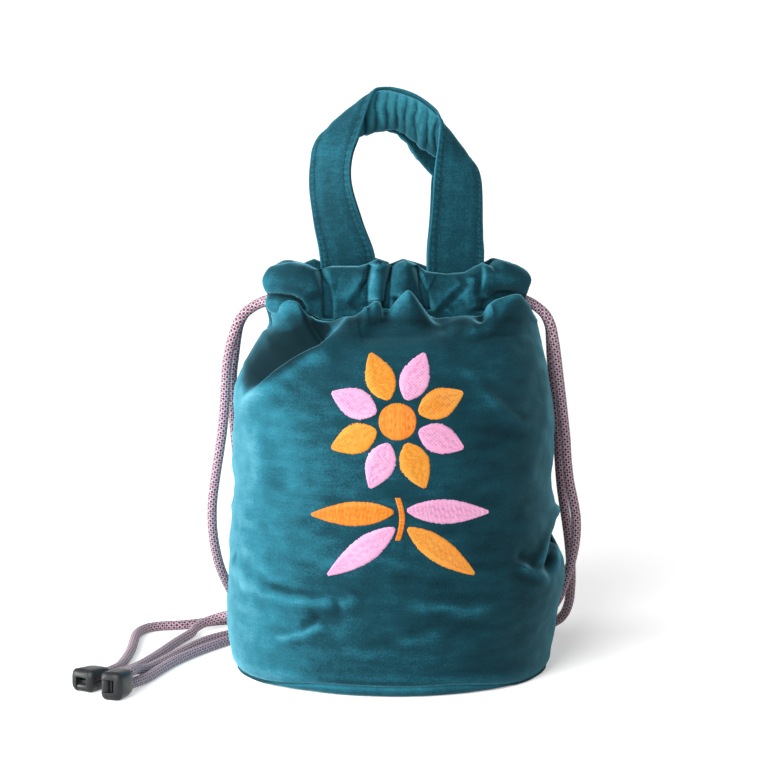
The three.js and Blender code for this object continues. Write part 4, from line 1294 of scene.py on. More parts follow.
def paint_light_and_shade(piece: Piece, strength: float, side_light_weight: float, painted_marks: Sequence[Fold] = ()) -> None:
    """Stores painted light and shade on a cloth, for its colour.

    A place that stands proud of its neighbours gets a painted highlight, and a hollow one painted
    shade. A flank that looks left is painted lighter, and one that looks right or up is painted
    darker, standing in for the light from the left.

    Args:
        piece: the cloth.
        strength: how much a millimetre of relief counts.
        side_light_weight: how much the painted side light counts.
        painted_marks: painted highlights, and painted shade where the height is negative.
    """
    mesh = piece.data

    def read(items: bpy.types.bpy_prop_collection, key: str, width: int,
             kind: type = float) -> Array:
        """Reads one measure of every item.

        Args:
            items: the mesh's vertices or edges.
            key: the measure's name.
            width: how many values an item has.
            kind: the values' type.

        Returns:
            The values, one row each.
        """
        values = np.zeros(len(items) * width, kind)
        items.foreach_get(key, values)
        return values.reshape(-1, width)

    spots, normals = (read(mesh.vertices, key, 3) for key in ("co", "normal"))
    pairs = read(mesh.edges, "vertices", 2, int)
    degree = np.bincount(pairs.ravel(), minlength=len(spots))[:, None]

    def spread(values: Array) -> Array:
        """Gives each vertex the mean of its neighbours' values.

        Args:
            values: the vertices' values, one row each.

        Returns:
            The means, one row each.
        """
        total = np.zeros_like(values)
        np.add.at(total, pairs[:, 0], values[pairs[:, 1]])
        np.add.at(total, pairs[:, 1], values[pairs[:, 0]])
        return total / np.maximum(degree, 1)

    flat = spots
    for _ in range(CREST_ROUNDS):
        flat = 0.5 * flat + 0.5 * spread(flat)
    # painted highlight where a place stands proud of its neighbours, painted shade where it lies
    # hollow
    proud = np.einsum("ij,ij->i", spots - flat, normals) / MM
    proud -= np.median(proud)
    lean = normals[:, [0, 2]]
    for _ in range(LEAN_ROUNDS):
        lean = 0.5 * lean + 0.5 * spread(lean)
    aside = np.abs(lean[:, 0])
    # painted side light: flanks that face left are lighter, and flanks that face right or up
    # darker, standing in for the light from the left
    painted_side_light = np.where(lean[:, 0] < 0, aside**2.2, -0.5 * aside**1.5)
    painted_side_light -= 0.35 * np.maximum(lean[:, 1], 0)
    value = np.clip(proud * strength, -CREST_LIMIT, CREST_LIMIT) + side_light_weight * painted_side_light
    for mark in painted_marks:
        value += mark.rise(spots[:, 0] / MM, spots[:, 2] / MM)
    crest = mesh.attributes.new("crest", "FLOAT", "POINT")
    crest.data.foreach_set("value", value.astype(np.float32))


# ---- the casing


@dataclass
class Casing:
    """The gathered channel round the mouth, in two halves that end at the side slits.

    Its section is a soft rectangle. Each gather bulges outwards and up between the pinched
    creases, and each end turns in to a hem round the cords.
    """

    side: Side
    relief_lines: Sequence[Fold]
    top: Sequence[Pair]
    foot: Sequence[Pair] = ((-80, 211), (80, 211))
    half_straight: float = 46.5
    end_radius: float = 25.0
    half_width: float = 8.4
    half_height: float = 14.0
    slit: float = 28.0
    columns: int = 320
    around: int = 84

    @property
    def reach(self) -> float:
        """The way round the mouth from the middle to a slit, on the channel's middle line."""
        return self.half_straight + self.end_radius * math.radians(90 - self.slit)

    def build(self, finishes: Finishes) -> None:
        """Makes this half of the casing.

        Args:
            finishes: the bag's materials.
        """
        word = self.side.name.lower()
        rings = self._rings()
        outline = self._section()

        def place(u: Array, v: Array) -> Array:
            """Gives the channel's places.

            Args:
                u: the shares from one slit to the other.
                v: the shares round its section.

            Returns:
                The places in metres, one row each.
            """
            ring = rings[np.rint(u * (len(rings) - 1)).astype(int)]
            corner = outline[np.rint(v * self.around).astype(int) % self.around]
            return self._spots(ring[:, 0], ring[:, 1], corner[:, 0], corner[:, 1]) * MM

        piece = grid_piece(f"casing_{word}_gathers", len(rings) - 1, self.around, place,
                           closed=True)
        paint_light_and_shade(piece, 0.28, 0.35, CASING_PAINTED_LIGHT_AND_SHADE if self.side is Side.FRONT else ())
        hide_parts(f"casing_{word}")
        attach(piece, "bag")
        dress(piece, finishes.velveteen)
        log.info("made %s", piece.name)

    def _rings(self) -> Array:
        """The casing's rings, with a turned-in hem at both ends.

        Returns:
            The way round the mouth and the size of each ring, one row each.
        """
        hem = ((9.0, 0.72), (4.0, 0.73), (1.5, 0.75), (0.4, 0.8), (0.0, 0.86), (0.0, 0.92),
               (0.5, 0.97))
        full_from = 1.2
        start = [(-self.reach + inside, size) for inside, size in hem]
        middle = [(way, 1.0) for way in np.linspace(-self.reach + full_from,
                                                    self.reach - full_from, self.columns)]
        end = [(-way, size) for way, size in reversed(start)]
        return np.array(start + middle + end)

    def _section(self) -> Array:
        """A soft rectangle, from the middle of its underside outwards and up.

        Returns:
            Its places outwards and up, from -1 to 1, evenly spaced.
        """
        turn = np.linspace(0, 2 * math.pi, 721)
        power = 2 / 3.1
        line = np.stack([sign * np.sign(part) * np.abs(part) ** power
                         for sign, part in ((1, np.sin(turn)), (-1, np.cos(turn)))], 1)
        size = (self.half_width, self.half_height)
        return evenly(line * size, self.around)[:-1] / size

    def _spots(self, way: Array, size: Array, out: Array, up: Array) -> Array:
        """Places on the gathered channel, in millimetres.

        Args:
            way: the way round the mouth from the middle of this half.
            size: the section's size as a share of its full one.
            out: the place on the section outwards, from -1 to 1.
            up: the place on the section upwards, from -1 to 1.

        Returns:
            The places, one row each.
        """
        along = np.minimum(np.abs(way), self.half_straight)
        turn = np.maximum(0, np.abs(way) - self.half_straight) / self.end_radius
        outward_x, outward_y = np.sign(way) * np.sin(turn), self.side.value * np.cos(turn)
        face_x = np.sign(way) * along + outward_x * (self.end_radius + self.half_width)
        crown, floor = (np.interp(face_x, *np.array(line).T) for line in (self.top, self.foot))
        height = floor + (crown - floor) / 2 * (1 + up * size)
        lift = sum((line.rise(face_x, height) for line in self.relief_lines),
                   np.full_like(way, 1.6))
        at = np.stack([face_x, np.where(out > 0, 0.0, 40.0), height], 1)
        lift = lift + 0.5 * wander(at, (9, 9, 9), 2.3 * self.side.value, 2)
        free = 5.5 * smooth((height - 227) / 8)
        lift = np.maximum(lift, -1.0 - free)
        inside = np.clip(-out, 0, 1) * (0.35 * wander(at, (5, 5, 14), 9.1, 2)
                                       - 1.4 * smooth((np.abs(face_x) - 58) / 8))
        facing = smooth((out + 0.05) / 0.75)
        ends = smooth((self.reach - np.abs(way)) / 5)
        radial = (self.end_radius + self.half_width * out * size
                  + lift * facing * (0.35 + 0.65 * ends) + inside)
        x = np.sign(way) * along + outward_x * radial
        y = outward_y * radial
        return np.stack([x, y, height], 1)


CASING_FRONT_TOP = (
    (-80, 236), (-74, 238.5), (-64, 240.5), (-54, 239), (-45, 236), (-38, 238), (-22, 238),
    (-17, 239.5), (-11, 242.5), (-5, 240.5), (-3, 237.5), (0, 240), (5, 242), (11, 239),
    (17, 235), (28, 233.5), (39, 234.5), (45, 238), (50, 240), (55.5, 238), (62, 241.5),
    (70, 239.5), (80, 233))

CASING_FRONT_FOOT = (
    (-80, 209.5), (-48, 209.5), (-41, 205.5), (-25, 205.5), (-18, 210), (18, 210), (24, 206.5),
    (44, 206.5), (50, 210), (80, 210.5))

# Painted light and shade on the front casing: painted highlight on its panels and middle lobe,
# painted shade under the left lobe's tuck
CASING_PAINTED_LIGHT_AND_SHADE = (
    Fold([(-36, 224), (-28, 222), (-20, 226)], 0.16, 8, 0, (0.1, 0.1)),
    Fold([(-11, 236), (-10, 222), (-11, 212)], 0.16, 5, 0, (0.1, 0.1)),
    Fold([(22, 222), (42, 222)], 0.08, 8, 0, (0.1, 0.1)),
    Fold([(-74, 228), (-60, 226), (-52, 218)], -0.08, 7, 0, (0.1, 0.1)),
)

CASING_FRONT_LINES = (
    # the rolled lobe at the left, with its level tuck
    Fold([(-78, 230), (-62, 230), (-50, 228), (-46, 219)], 4.4, 8, 0, (0.02, 0.2)),
    Fold([(-80, 221.5), (-68, 221.8), (-60, 221), (-55, 218.3), (-52, 212)], -3.6, 1.7, 0.3,
         (0.02, 0.1)),
    Fold([(-77, 216), (-70, 213), (-62, 213)], 2.6, 5.0, 0, (0.1, 0.3)),
    Fold([(-44.5, 237), (-41, 226), (-39.5, 218), (-39.5, 208)], -8, 2.3, 0, (0.02, 0.02)),
    # the flat panel under the left foot, with one slanting wrinkle
    Fold([(-34, 232), (-29, 222), (-27, 210)], -1.4, 8, 0, (0.4, 0.2)),
    Fold([(-17, 235), (-22, 228.5), (-31, 216)], 2.0, 3.4, 0.3, (0.2, 0.3)),
    Fold([(-16, 228), (-20, 221), (-25, 212)], -1.8, 4.0, 0, (0.2, 0.2)),
    # two upright lobes in the middle
    Fold([(-15, 239), (-18.5, 226), (-18.4, 215)], -5.5, 1.9, 0, (0.02, 0.02)),
    Fold([(-10.5, 240), (-11.5, 226), (-12, 217)], 5.2, 5.2, 0, (0.02, 0.1)),
    Fold([(-3, 240), (-5, 228), (-6.5, 214)], -7, 2.0, 0, (0.02, 0.02)),
    Fold([(4.5, 241), (4, 228), (2, 219)], 5.2, 6.2, 0, (0.02, 0.1)),
    Fold([(11, 239), (14, 228), (18, 213)], -7, 2.0, 0, (0.02, 0.02)),
    Fold([(13.5, 236), (16.5, 222)], 2.4, 1.8, 0, (0.2, 0.3)),
    # the hollow panel under the right foot, with slanting and upright wrinkles
    Fold([(20, 231), (30, 226), (36, 220)], -1.6, 9, 0, (0.1, 0.1)),
    Fold([(38, 231), (29, 222.5), (19.5, 212)], 2.4, 3.6, 0.25, (0.15, 0.1)),
    Fold([(24, 226), (22.5, 218), (19, 212)], 0.9, 2.8, 0, (0.2, 0.2)),
    Fold([(37, 222), (29, 213)], -1.5, 4.6, 0, (0.3, 0.2)),
    Fold([(40, 228), (40.4, 219), (44, 212)], 1.4, 2.3, 0, (0.2, 0.2)),
    Fold([(43.5, 233), (43.4, 222), (47, 213)], 2.8, 2.6, 0, (0.1, 0.2)),
    # the rolled lobe at the right over its dark hollow
    Fold([(48, 233), (60, 232), (78, 230)], 4.6, 7.5, 0, (0.05, 0.02)),
    Fold([(50, 221), (50, 212)], -3, 4.4, 0, (0.3, 0.1)),
    Fold([(50, 222.5), (64, 222), (78, 217)], -4.6, 3.8, 0, (0.35, 0.02)),
    Fold([(56.5, 241), (56, 234)], -2.0, 2.0, 0, (0.02, 0.4)),
)

CASING_BACK_TOP = (
    (-80, 235), (-70, 240), (-58, 238), (-50, 240.5), (-42, 238), (-34, 235), (-22, 238.5),
    (-12, 241), (-5, 237), (4, 240.5), (13, 238), (22, 234.5), (34, 236), (44, 240),
    (52, 237.5), (61, 241), (70, 239), (80, 234))

CASING_BACK_LINES = (
    Fold([(-70, 236), (-68, 214)], 4.2, 7, 0, (0.02, 0.2)),
    Fold([(-58, 240), (-60, 226), (-57, 212)], -6, 2.4, 0, (0.02, 0.02)),
    Fold([(-50, 236), (-49, 216)], 4.0, 6, 0, (0.02, 0.2)),
    Fold([(-41, 238), (-40, 226), (-42, 212)], -6, 2.4, 0, (0.02, 0.02)),
    Fold([(-36, 232), (-26, 220)], 2.4, 3.2, 0, (0.2, 0.3)),
    Fold([(-19, 238), (-21, 226), (-18, 212)], -6, 2.2, 0, (0.02, 0.02)),
    Fold([(-12, 237), (-12, 218)], 4.4, 5, 0, (0.02, 0.2)),
    Fold([(-5, 240), (-4, 226), (-6, 212)], -6.5, 2.2, 0, (0.02, 0.02)),
    Fold([(4, 238), (4, 218)], 4.2, 5.5, 0, (0.02, 0.2)),
    Fold([(13, 240), (12, 226), (14, 212)], -6.5, 2.2, 0, (0.02, 0.02)),
    Fold([(20, 230), (32, 218)], 2.4, 3.0, 0, (0.2, 0.3)),
    Fold([(37, 238), (36, 226), (38, 212)], -6, 2.2, 0, (0.02, 0.02)),
    Fold([(45, 236), (45, 216)], 4.2, 5.5, 0, (0.02, 0.2)),
    Fold([(53, 240), (54, 226), (52, 212)], -6.5, 2.4, 0, (0.02, 0.02)),
    Fold([(63, 236), (66, 218)], 4.4, 7, 0, (0.02, 0.2)),
)


# ---- the handles


@dataclass
class Handle:
    """One top handle: a hemmed velveteen strap over a ruched strip, sewn down inside the mouth.

    The strap's outer face looks forwards at both feet. On top it folds over softly at both
    corners, so that its ruched side looks forwards and down.
    """

    side: Side
    layer: float = 1.6
    middle: float = 2.0
    foot_depth: float = 25.8
    strap_floor: float = 239.0
    foot_face: float = 14.7
    steps: int = 330
    around: int = 72
    seam: float = 0.15
    hem_rows: Pair = (1.5, 4.6)
    ruche_inset: float = 2.4
    sewn_length: float = 22.0
    fold_height: float = 52.0
    stitch: float = 2.3
    stitch_share: float = 0.74
    stitches_from: float = 24.0
    thread: float = 0.26
    above_cloth: float = 1.62

    def __post_init__(self) -> None:
        """Works out the strap's middle line and its frame at every step."""
        rows = np.array(STRAP_EDGES, float)
        if self.side is Side.BACK:
            first, drop = REAR_DROP
            rows[first:first + len(drop)] += np.array(drop)
        rows[:, :, 0] += self.middle
        rows[:, :, 1] *= self.side.value
        rows[:, :, 2] += self.strap_floor
        edges = evenly(through(rows.reshape(-1, 6)), self.steps).reshape(-1, 2, 3)
        down = np.linspace(self.foot_depth, 1.2, 18)[:, None, None] * np.array([0, 0, 1])
        edges = np.vstack([edges[:1] - down, edges, edges[-1:] - down[::-1]])
        self._line = edges.mean(1)
        along = np.gradient(self._line, axis=0)
        across = edges[:, 1] - edges[:, 0]
        self._width = np.linalg.norm(across, axis=1)
        self._across = across / self._width[:, None]
        out_way = unit(np.cross(along, self._across) * -self.side.value)
        soft = np.hanning(9)[:, None]
        near = np.pad(out_way, [(4, 4), (0, 0)], "edge")
        self._out = unit(np.stack([(near[k:k + 9] * soft).sum(0) for k in range(len(out_way))]))
        self._walked = walked(self._line)

    def build(self, finishes: Finishes) -> None:
        """Makes the strap, the ruched strip and the topstitching.

        Args:
            finishes: the bag's materials.
        """
        word = "front" if self.side is Side.FRONT else "rear"
        strap = self._layer(f"{word}_strap", self._strap_section)
        paint_light_and_shade(strap, 0.35, 0.1, STRAP_PAINTED_HIGHLIGHT)
        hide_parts(f"{word}_handle_outer", f"{word}_handle_left_foot",
                    f"{word}_handle_right_foot")
        dress(strap, finishes.velveteen)
        ruche = self._layer(f"{word}_ruche", self._ruche_section)
        paint_light_and_shade(ruche, 0.4, 0.0, RUCHE_PAINTED_HIGHLIGHT)
        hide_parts(f"{word}_handle_inner")
        dress(ruche, finishes.ruched)
        stitches = self._topstitching(f"{word}_topstitching")
        dress(stitches, finishes.tacking)
        for piece in (strap, ruche, stitches):
            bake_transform(piece)
        log.info("made the %s handle, %.0f mm of strap", word, self._walked[-1])

    def _layer(self, name: str, section: Callable) -> Piece:
        """Sweeps a closed section along the strap.

        Args:
            name: the piece's name.
            section: gives the way aside and the way out for step numbers and shares round.

        Returns:
            The piece.
        """

        def place(u: Array, v: Array) -> Array:
            """Gives the strip's places.

            Args:
                u: the shares along it.
                v: the shares round its section.

            Returns:
                The places in metres, one row each.
            """
            k = np.rint(u * (len(self._line) - 1)).astype(int)
            aside, out = section(k, v)
            return (self._line[k] + self._across[k] * aside[:, None]
                    + self._out[k] * out[:, None]) * MM

        piece = grid_piece(name, len(self._line) - 1, self.around, place, closed=True)
        cap_ends(piece)
        return piece

    def _strap_section(self, k: Array, v: Array) -> tuple[Array, Array]:
        """The outer strap: softly padded, with a hem between two fine grooves at each edge.

        Args:
            k: the numbers of the steps along the strap.
            v: the shares round the section.

        Returns:
            The way aside and the way out, in millimetres.
        """
        half = self._width[k] / 2
        upper = v < 0.5
        share = np.where(upper, 4 * v - 1, 3 - 4 * v)
        share = np.sign(share) * (1 - (1 - np.abs(share)) ** 1.3)
        way = self._walked[k]
        wave = 0.5 * wander(np.stack([way, share * 17, 0 * way], 1), (17, 22, 9), 4.4, 3)
        aside = share * (half + self._sway(way, np.sign(share)))
        edge = half - np.abs(aside)
        round_off = np.sqrt(1 - (1 - np.clip((1 - np.abs(share)) * half / 0.9, 0, 1)) ** 2)
        middle = self.seam + self.layer / 2
        outer, inner = self.hem_rows
        top = middle + self.layer / 2 * round_off + 0.7 * smooth((edge - inner) / 6)
        top -= (0.3 * bump(edge, outer, 0.45) + 0.42 * bump(edge, inner, 0.6)) * round_off
        top += 0.16 * np.sin(way * 2 * math.pi / 3.4) * bump(edge, 3.0, 1.6) * round_off
        low = middle - self.layer / 2 * round_off
        return aside, np.where(upper, top, low) + wave * smooth(edge / 5)

    def _ruche_section(self, k: Array, v: Array) -> tuple[Array, Array]:
        """The inner strip, drawn up along its length into a few soft gathers.

        Args:
            k: the numbers of the steps along the strap.
            v: the shares round the section.

        Returns:
            The way aside and the way out, in millimetres.
        """
        half = self._width[k] / 2 - self.ruche_inset
        lower = v < 0.5
        share = np.where(lower, 4 * v - 1, 3 - 4 * v)
        way = self._walked[k]
        free = smooth((way - self.sewn_length) / 12) * smooth(
            (self._walked[-1] - way - self.sewn_length) / 12)
        at = self._line[k] + self._across[k] * (share * half)[:, None]
        on_top = smooth((at[:, 2] - self.strap_floor - self.fold_height) / 14)
        bend = at[:, 2] * (1 - on_top) * 0.8 + at[:, 0] * on_top
        bend += 1.3 * wander(at, (11, 11, 11), 7.1, 2)
        puff = np.abs(np.sin(bend * math.pi / 5.9)) ** 0.7 - 0.62
        gather = 1.5 * puff + 0.55 * wander(at, (4, 9, 12), 1.7, 2)
        swell = (0.5 + 1.9 * free) * (1 - share**2) ** 0.5
        deep = self.layer * 0.55 + swell + 1.25 * gather * free
        deep = np.maximum(deep, 0.3) * np.sqrt(1 - share**2)
        spill = np.where(share > 0, (2.2 + 0.9 * gather) * share**4, 0) * free * on_top
        return share * half + spill, np.where(lower, -self.seam - deep, -self.seam)

    def _topstitching(self, name: str) -> Piece:
        """Two rows of stitches along each hem, all in one mesh.

        Args:
            name: the piece's name.

        Returns:
            The piece.
        """
        made = bmesh.new()
        for sign in (-1, 1):
            for inset, start in zip(self.hem_rows, (0.0, 0.4)):
                half = self._width / 2 - inset + self._sway(self._walked, sign)
                row = (self._line + self._across * (sign * half)[:, None]
                       + self._out * self.above_cloth)
                far = walked(row)
                for way in np.arange(self.stitches_from + start, far[-1] - self.stitches_from,
                                     self.stitch):
                    ends = [Vector([np.interp(place, far, row[:, k]) * MM for k in range(3)])
                            for place in (way, way + self.stitch * self.stitch_share)]
                    up = Vector(self._out[int(np.searchsorted(far, way))])
                    add_stitch(made, ends[0], ends[1], up, self.thread * MM)
        return mesh_object(name, made)

    @staticmethod
    def _sway(way: Array, sign: Array | int) -> Array:
        """How far each edge wanders in and out, in millimetres."""
        return 0.3 * np.sin(way / 6.1 + 2 * sign)


# The strap's inner and outer edge from the left foot to the right: across from the handle's
# middle, forward from the bag's middle, and up from the mouth
STRAP_EDGES = (
    ((-14.2, 14.7, 0.0), (-46.3, 14.7, 0.0)), ((-16.0, 16.3, 9.3), (-47.3, 13.2, 9.8)),
    ((-22.0, 21.5, 25.2), (-50.4, 9.5, 24.1)), ((-27.2, 26.0, 42.0), (-52.0, 6.8, 40.4)),
    ((-28.3, 27.6, 53.6), (-52.2, 6.0, 51.5)), ((-26.9, 28.0, 64.6), (-51.7, 6.5, 59.7)),
    ((-24.3, 27.5, 72.1), (-51.2, 7.2, 64.1)), ((-21.2, 26.5, 81.3), (-50.0, 8.2, 67.6)),
    ((-17.7, 25.0, 91.6), (-47.8, 9.5, 71.2)), ((-13.5, 21.5, 99.9), (-43.8, 8.5, 74.7)),
    ((-9.4, 20.0, 101.4), (-38.6, 6.3, 74.6)), ((-5.4, 20.4, 101.4), (-32.8, 5.2, 73.1)),
    ((-1.6, 21.0, 100.5), (-26.4, 4.8, 72.8)), ((2.1, 22.0, 99.4), (-19.4, 4.6, 74.5)),
    ((6.1, 23.0, 98.0), (-11.8, 4.6, 76.6)), ((10.2, 23.5, 96.2), (-3.7, 4.6, 77.2)),
    ((13.9, 24.0, 93.9), (3.9, 4.6, 73.7)), ((17.1, 24.0, 91.3), (11.5, 4.8, 67.2)),
    ((19.4, 24.0, 89.0), (19.6, 5.2, 62.0)), ((20.8, 24.5, 87.3), (26.6, 6.0, 59.1)),
    ((21.5, 25.5, 85.6), (32.7, 7.2, 59.1)), ((21.9, 26.5, 83.0), (37.6, 9.0, 59.5)),
    ((21.9, 27.4, 79.6), (41.3, 10.5, 58.1)), ((21.3, 28.0, 74.4), (44.5, 10.8, 54.3)),
    ((20.4, 28.0, 66.9), (46.4, 10.2, 48.8)), ((19.3, 27.8, 57.7), (47.4, 9.4, 42.3)),
    ((18.5, 27.2, 46.7), (47.7, 8.8, 34.1)), ((18.0, 24.6, 38.0), (47.6, 8.8, 23.6)),
    ((16.8, 20.5, 22.9), (48.0, 10.4, 14.9)), ((16.0, 16.6, 10.4), (49.0, 13.2, 7.5)),
    ((16.0, 14.7, 0.0), (48.8, 14.7, 0.0)))
# The rear strap's folded part hangs lower at the right: its first row, and each row's drop
REAR_DROP = (15, (
    ((0, 0, 0), (0, 0, -1.5)), ((0, 0, 0), (-0.5, 0, -4)), ((0, 0, 0), (-1.5, 0, -7.5)),
    ((0, 0, 0), (-2.5, 0, -10.5)), ((0, 0, -0.5), (-3, 0, -13)), ((0, 0, -0.5), (-3, 0, -14)),
    ((0, 0, -0.5), (-2, 0, -13)), ((0, 0, -0.5), (-1, 0, -11)), ((0, 0, 0), (0, 0, -8)),
    ((0, 0, 0), (0, 0, -5)), ((0, 0, 0), (0, 0, -2.5)), ((0, 0, 0), (0, 0, -1))))


def add_stitch(made: bmesh.types.BMesh, start: Vector, end: Vector, up: Vector,
               radius: float) -> None:
    """Adds one plump stitch, a six-sided spindle, to a mesh.

    Args:
        made: the mesh that gets it.
        start: where the thread comes out of the cloth.
        end: where it goes in again.
        up: the way out of the cloth.
        radius: half the thread's thickness.
    """
    way = end - start
    side = way.cross(up).normalized() * radius
    lift = up.normalized() * radius
    ring = bmesh.ops.create_circle(made, segments=6, radius=1.0, cap_ends=False)["verts"]
    rings = [ring]
    for _ in range(2):
        copy = bmesh.ops.duplicate(made, geom=ring)["geom"]
        rings.append([part for part in copy if isinstance(part, bmesh.types.BMVert)])
    for verts, share in zip(rings, (0.2, 0.5, 0.8)):
        for vert in verts:
            vert.co = start + way * share + side * vert.co.x + lift * (vert.co.y + 0.2)
    edges = [list({edge for vert in verts for edge in vert.link_edges}) for verts in rings]
    for near, far in zip(edges, edges[1:]):
        bmesh.ops.bridge_loops(made, edges=near + far)
    for verts, tip in ((rings[0], start), (rings[2], end)):
        cap = made.faces.new(verts)
        poke = bmesh.ops.poke(made, faces=[cap])["verts"][0]
        poke.co = tip - lift * 0.4


# ---- the base


@dataclass
class Base:
    """The round bottom: a velveteen panel turned up to the seam, the lining's floor, the board."""

    wall: Wall
    outline: Sequence[Pair] = (
        (0, 0), (50, 0), (84, 0), (89.2, 0.3), (92.0, 1.7), (93.6, 3.7), (94.1, 5.4), (93.4, 6.6),
        (92.0, 6.9))
    around: int = 360
    rings: int = 90
    lining_steps: tuple[int, int] = (180, 40)
    lining_floor: float = 4.0
    lining_radius: float = 88.0

    def build(self, finishes: Finishes) -> None:
        """Makes the base panel and the lining's floor, and dresses the board.

        Args:
            finishes: the bag's materials.
        """
        line = evenly(through([(r, z, 0) for r, z in self.outline]), self.rings)

        def place(u: Array, v: Array) -> Array:
            """Gives the panel's places.

            Args:
                u: the shares round it.
                v: the shares from the middle out to the seam.

            Returns:
                The places in metres, one row each.
            """
            at = line[np.rint(v * self.rings).astype(int)]
            turn = 2 * math.pi * u
            ripple = wander(np.stack([np.cos(turn) * 90, np.sin(turn) * 90, 0 * u], 1),
                            (11, 11, 11), 5.5, 2)
            radius = at[:, 0] + (0.5 * ripple * smooth((at[:, 0] - 80) / 12))
            spots = np.stack([radius * np.cos(turn), radius * np.sin(turn),
                              np.maximum(at[:, 1], 0)], 1)
            return self._fit(spots) * MM

        panel = grid_piece("base_velveteen", self.around, self.rings, place, closed=True)
        paint_light_and_shade(panel, 0.3, 0.3, BASE_PAINTED_SHADOW)
        face_towards(panel, lambda middle: Vector((0, 0, 0.02)))
        thicken(panel, VELVETEEN_THICKNESS)
        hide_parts("base_panel")
        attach(panel, "bag")
        dress(panel, finishes.velveteen)

        def floor(u: Array, v: Array) -> Array:
            """Gives the lining's places.

            Args:
                u: the shares round it.
                v: the shares from the middle out.

            Returns:
                The places in metres, one row each.
            """
            turn, radius = 2 * math.pi * u, v * self.lining_radius
            spots = np.stack([radius * np.cos(turn), radius * np.sin(turn), 0 * u], 1)
            spots[:, 2] = self.lining_floor + 0.5 + 0.45 * wander(spots, (24, 24, 9), 6.2, 2)
            return self._fit(spots) * MM

        lining = grid_piece("lining_floor", *self.lining_steps, floor, closed=True)
        face_towards(lining, lambda middle: Vector((middle.x, middle.y, -1)))
        thicken(lining, LINING_THICKNESS)
        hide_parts("lining_base_panel")
        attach(lining, "bag")
        dress(lining, finishes.lining)
        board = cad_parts["base_board"]
        board.data.materials.clear()
        board.data.materials.append(finishes.board)
        log.info("made the base")

    def _fit(self, spots: Array) -> Array:
        """Draws the round base in to the wall's own outline at its seam.

        Args:
            spots: places on a round base, in millimetres, which are changed.

        Returns:
            The same places.
        """
        right = self.wall.right[1][1] / BASE_RADIUS
        left = self.wall.left[1][1] / BASE_RADIUS
        spots[:, 0] *= np.where(spots[:, 0] > 0, right, left)
        near_rim = smooth((np.hypot(*spots[:, :2].T) - 70) / 15)
        sunk = self.wall.sink(spots[:, 0]) / BASE_SEAM * near_rim
        spots[:, 2] *= 1 - sunk
        return spots


# ---- the cord ends


@dataclass
class CordEnds:
    """The two moulded clips, each a hinged pair of halves over two cords."""

    edge: float = 0.45
    flat_angle: float = 2.0
    sharp_angle: float = 32.0

    def build(self, finishes: Finishes) -> None:
        """Makes a rounded copy of each half.

        Args:
            finishes: the bag's materials.
        """
        for letter in "ab":
            for half, body in (("base", "bag"), ("cover", f"cord_end_{letter}_cover")):
                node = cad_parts[f"cord_end_{letter}_{half}"]
                shell = bmesh.new()
                shell.from_mesh(node.data)
                bmesh.ops.remove_doubles(shell, verts=shell.verts[:], dist=TOUCHING)
                bmesh.ops.dissolve_limit(shell, angle_limit=math.radians(self.flat_angle),
                                         verts=shell.verts[:], edges=shell.edges[:])
                limit = math.radians(self.sharp_angle)
                sharp = [edge for edge in shell.edges
                         if len(edge.link_faces) == 2 and edge.calc_face_angle() > limit]
                bmesh.ops.bevel(shell, geom=sharp, offset=self.edge * MM, segments=3, profile=0.5,
                                affect="EDGES", material=-1, clamp_overlap=True)
                piece = mesh_object(f"clip_{letter}_{half}", shell)
                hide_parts(node.name)
                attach(piece, body)
                dress(piece, finishes.plastic)
                log.info("made %s", piece.name)


# ---- the embroidery

BEFORE_BAG = -0.2
BACKWARDS = Vector((0, 1, 0))
Outline = Callable[[Array, Array], tuple[Array, Array]]


@dataclass
class Patch:
    """One satin-stitched patch, laid on the wall.

    Attributes:
        name: the construction's node that it stands for.
        outline: gives the way across the bag and the height for shares along and across the patch.
        length: the patch's length, which the threads cross.
        thread: the thread's material.
        slot: the record's slot for it; not used.
    """

    name: str
    outline: Outline
    length: float
    thread: Material
    slot: str
    pitch: float = 0.72
    loft: float = 0.95
    sunk: float = 0.35
    thread_round: float = 0.14
    backing: float = 0.4
    across: int = 16

    def build(self, ground: BVHTree, seed: int) -> None:
        """Makes the patch on the cloth below it.

        Args:
            ground: the front panel's faces.
            seed: picks how uneven the threads' ends are.
        """
        threads = max(4, round(self.length / self.pitch))
        rng = np.random.default_rng(seed)
        ends = 1 + rng.normal(0, 0.022, threads + 1)

        def place(u: Array, v: Array) -> Array:
            """Gives the patch's places.

            Args:
                u: the shares along it.
                v: the shares across it.

            Returns:
                The places in metres, one row each.
            """
            which = np.clip((u * threads).astype(int), 0, threads)
            reach = np.where(np.abs(v - 0.5) > 0.3, ends[which], 1)
            share = np.clip(0.5 + (v - 0.5) * reach, -0.1, 1.1)
            x, z = self.outline(u, share)
            ridge = np.abs(np.sin(math.pi * u * threads))
            edge = np.abs(2 * v - 1)
            lengthwise = np.clip(np.minimum(u, 1 - u) * self.length / 1.2, 0, 1)
            dome = np.sqrt(np.clip(1 - edge**4, 0, 1)) * np.sqrt(1 - (1 - lengthwise) ** 2)
            split = self.thread_round * bump(edge, 0, 0.35)
            height = -self.sunk + (self.loft + self.sunk - split) * dome
            height += self.thread_round * ridge * dome
            spots = np.empty((len(u), 3))
            for k, (a, b, lift) in enumerate(zip(x, z, height)):
                hit, normal, _, _ = ground.ray_cast(Vector((a * MM, BEFORE_BAG, b * MM)), BACKWARDS)
                spots[k] = hit + normal * (lift * MM)
            return spots

        piece = grid_piece(f"{self.name}_stitches", threads * 4, self.across, place)
        face_towards(piece, lambda middle: middle + BACKWARDS)
        for loop in piece.data.uv_layers[0].data:
            loop.uv = (loop.uv[0] * threads, loop.uv[1])
        thicken(piece, self.backing)
        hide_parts(self.name)
        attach(piece, "bag")
        dress(piece, self.thread)


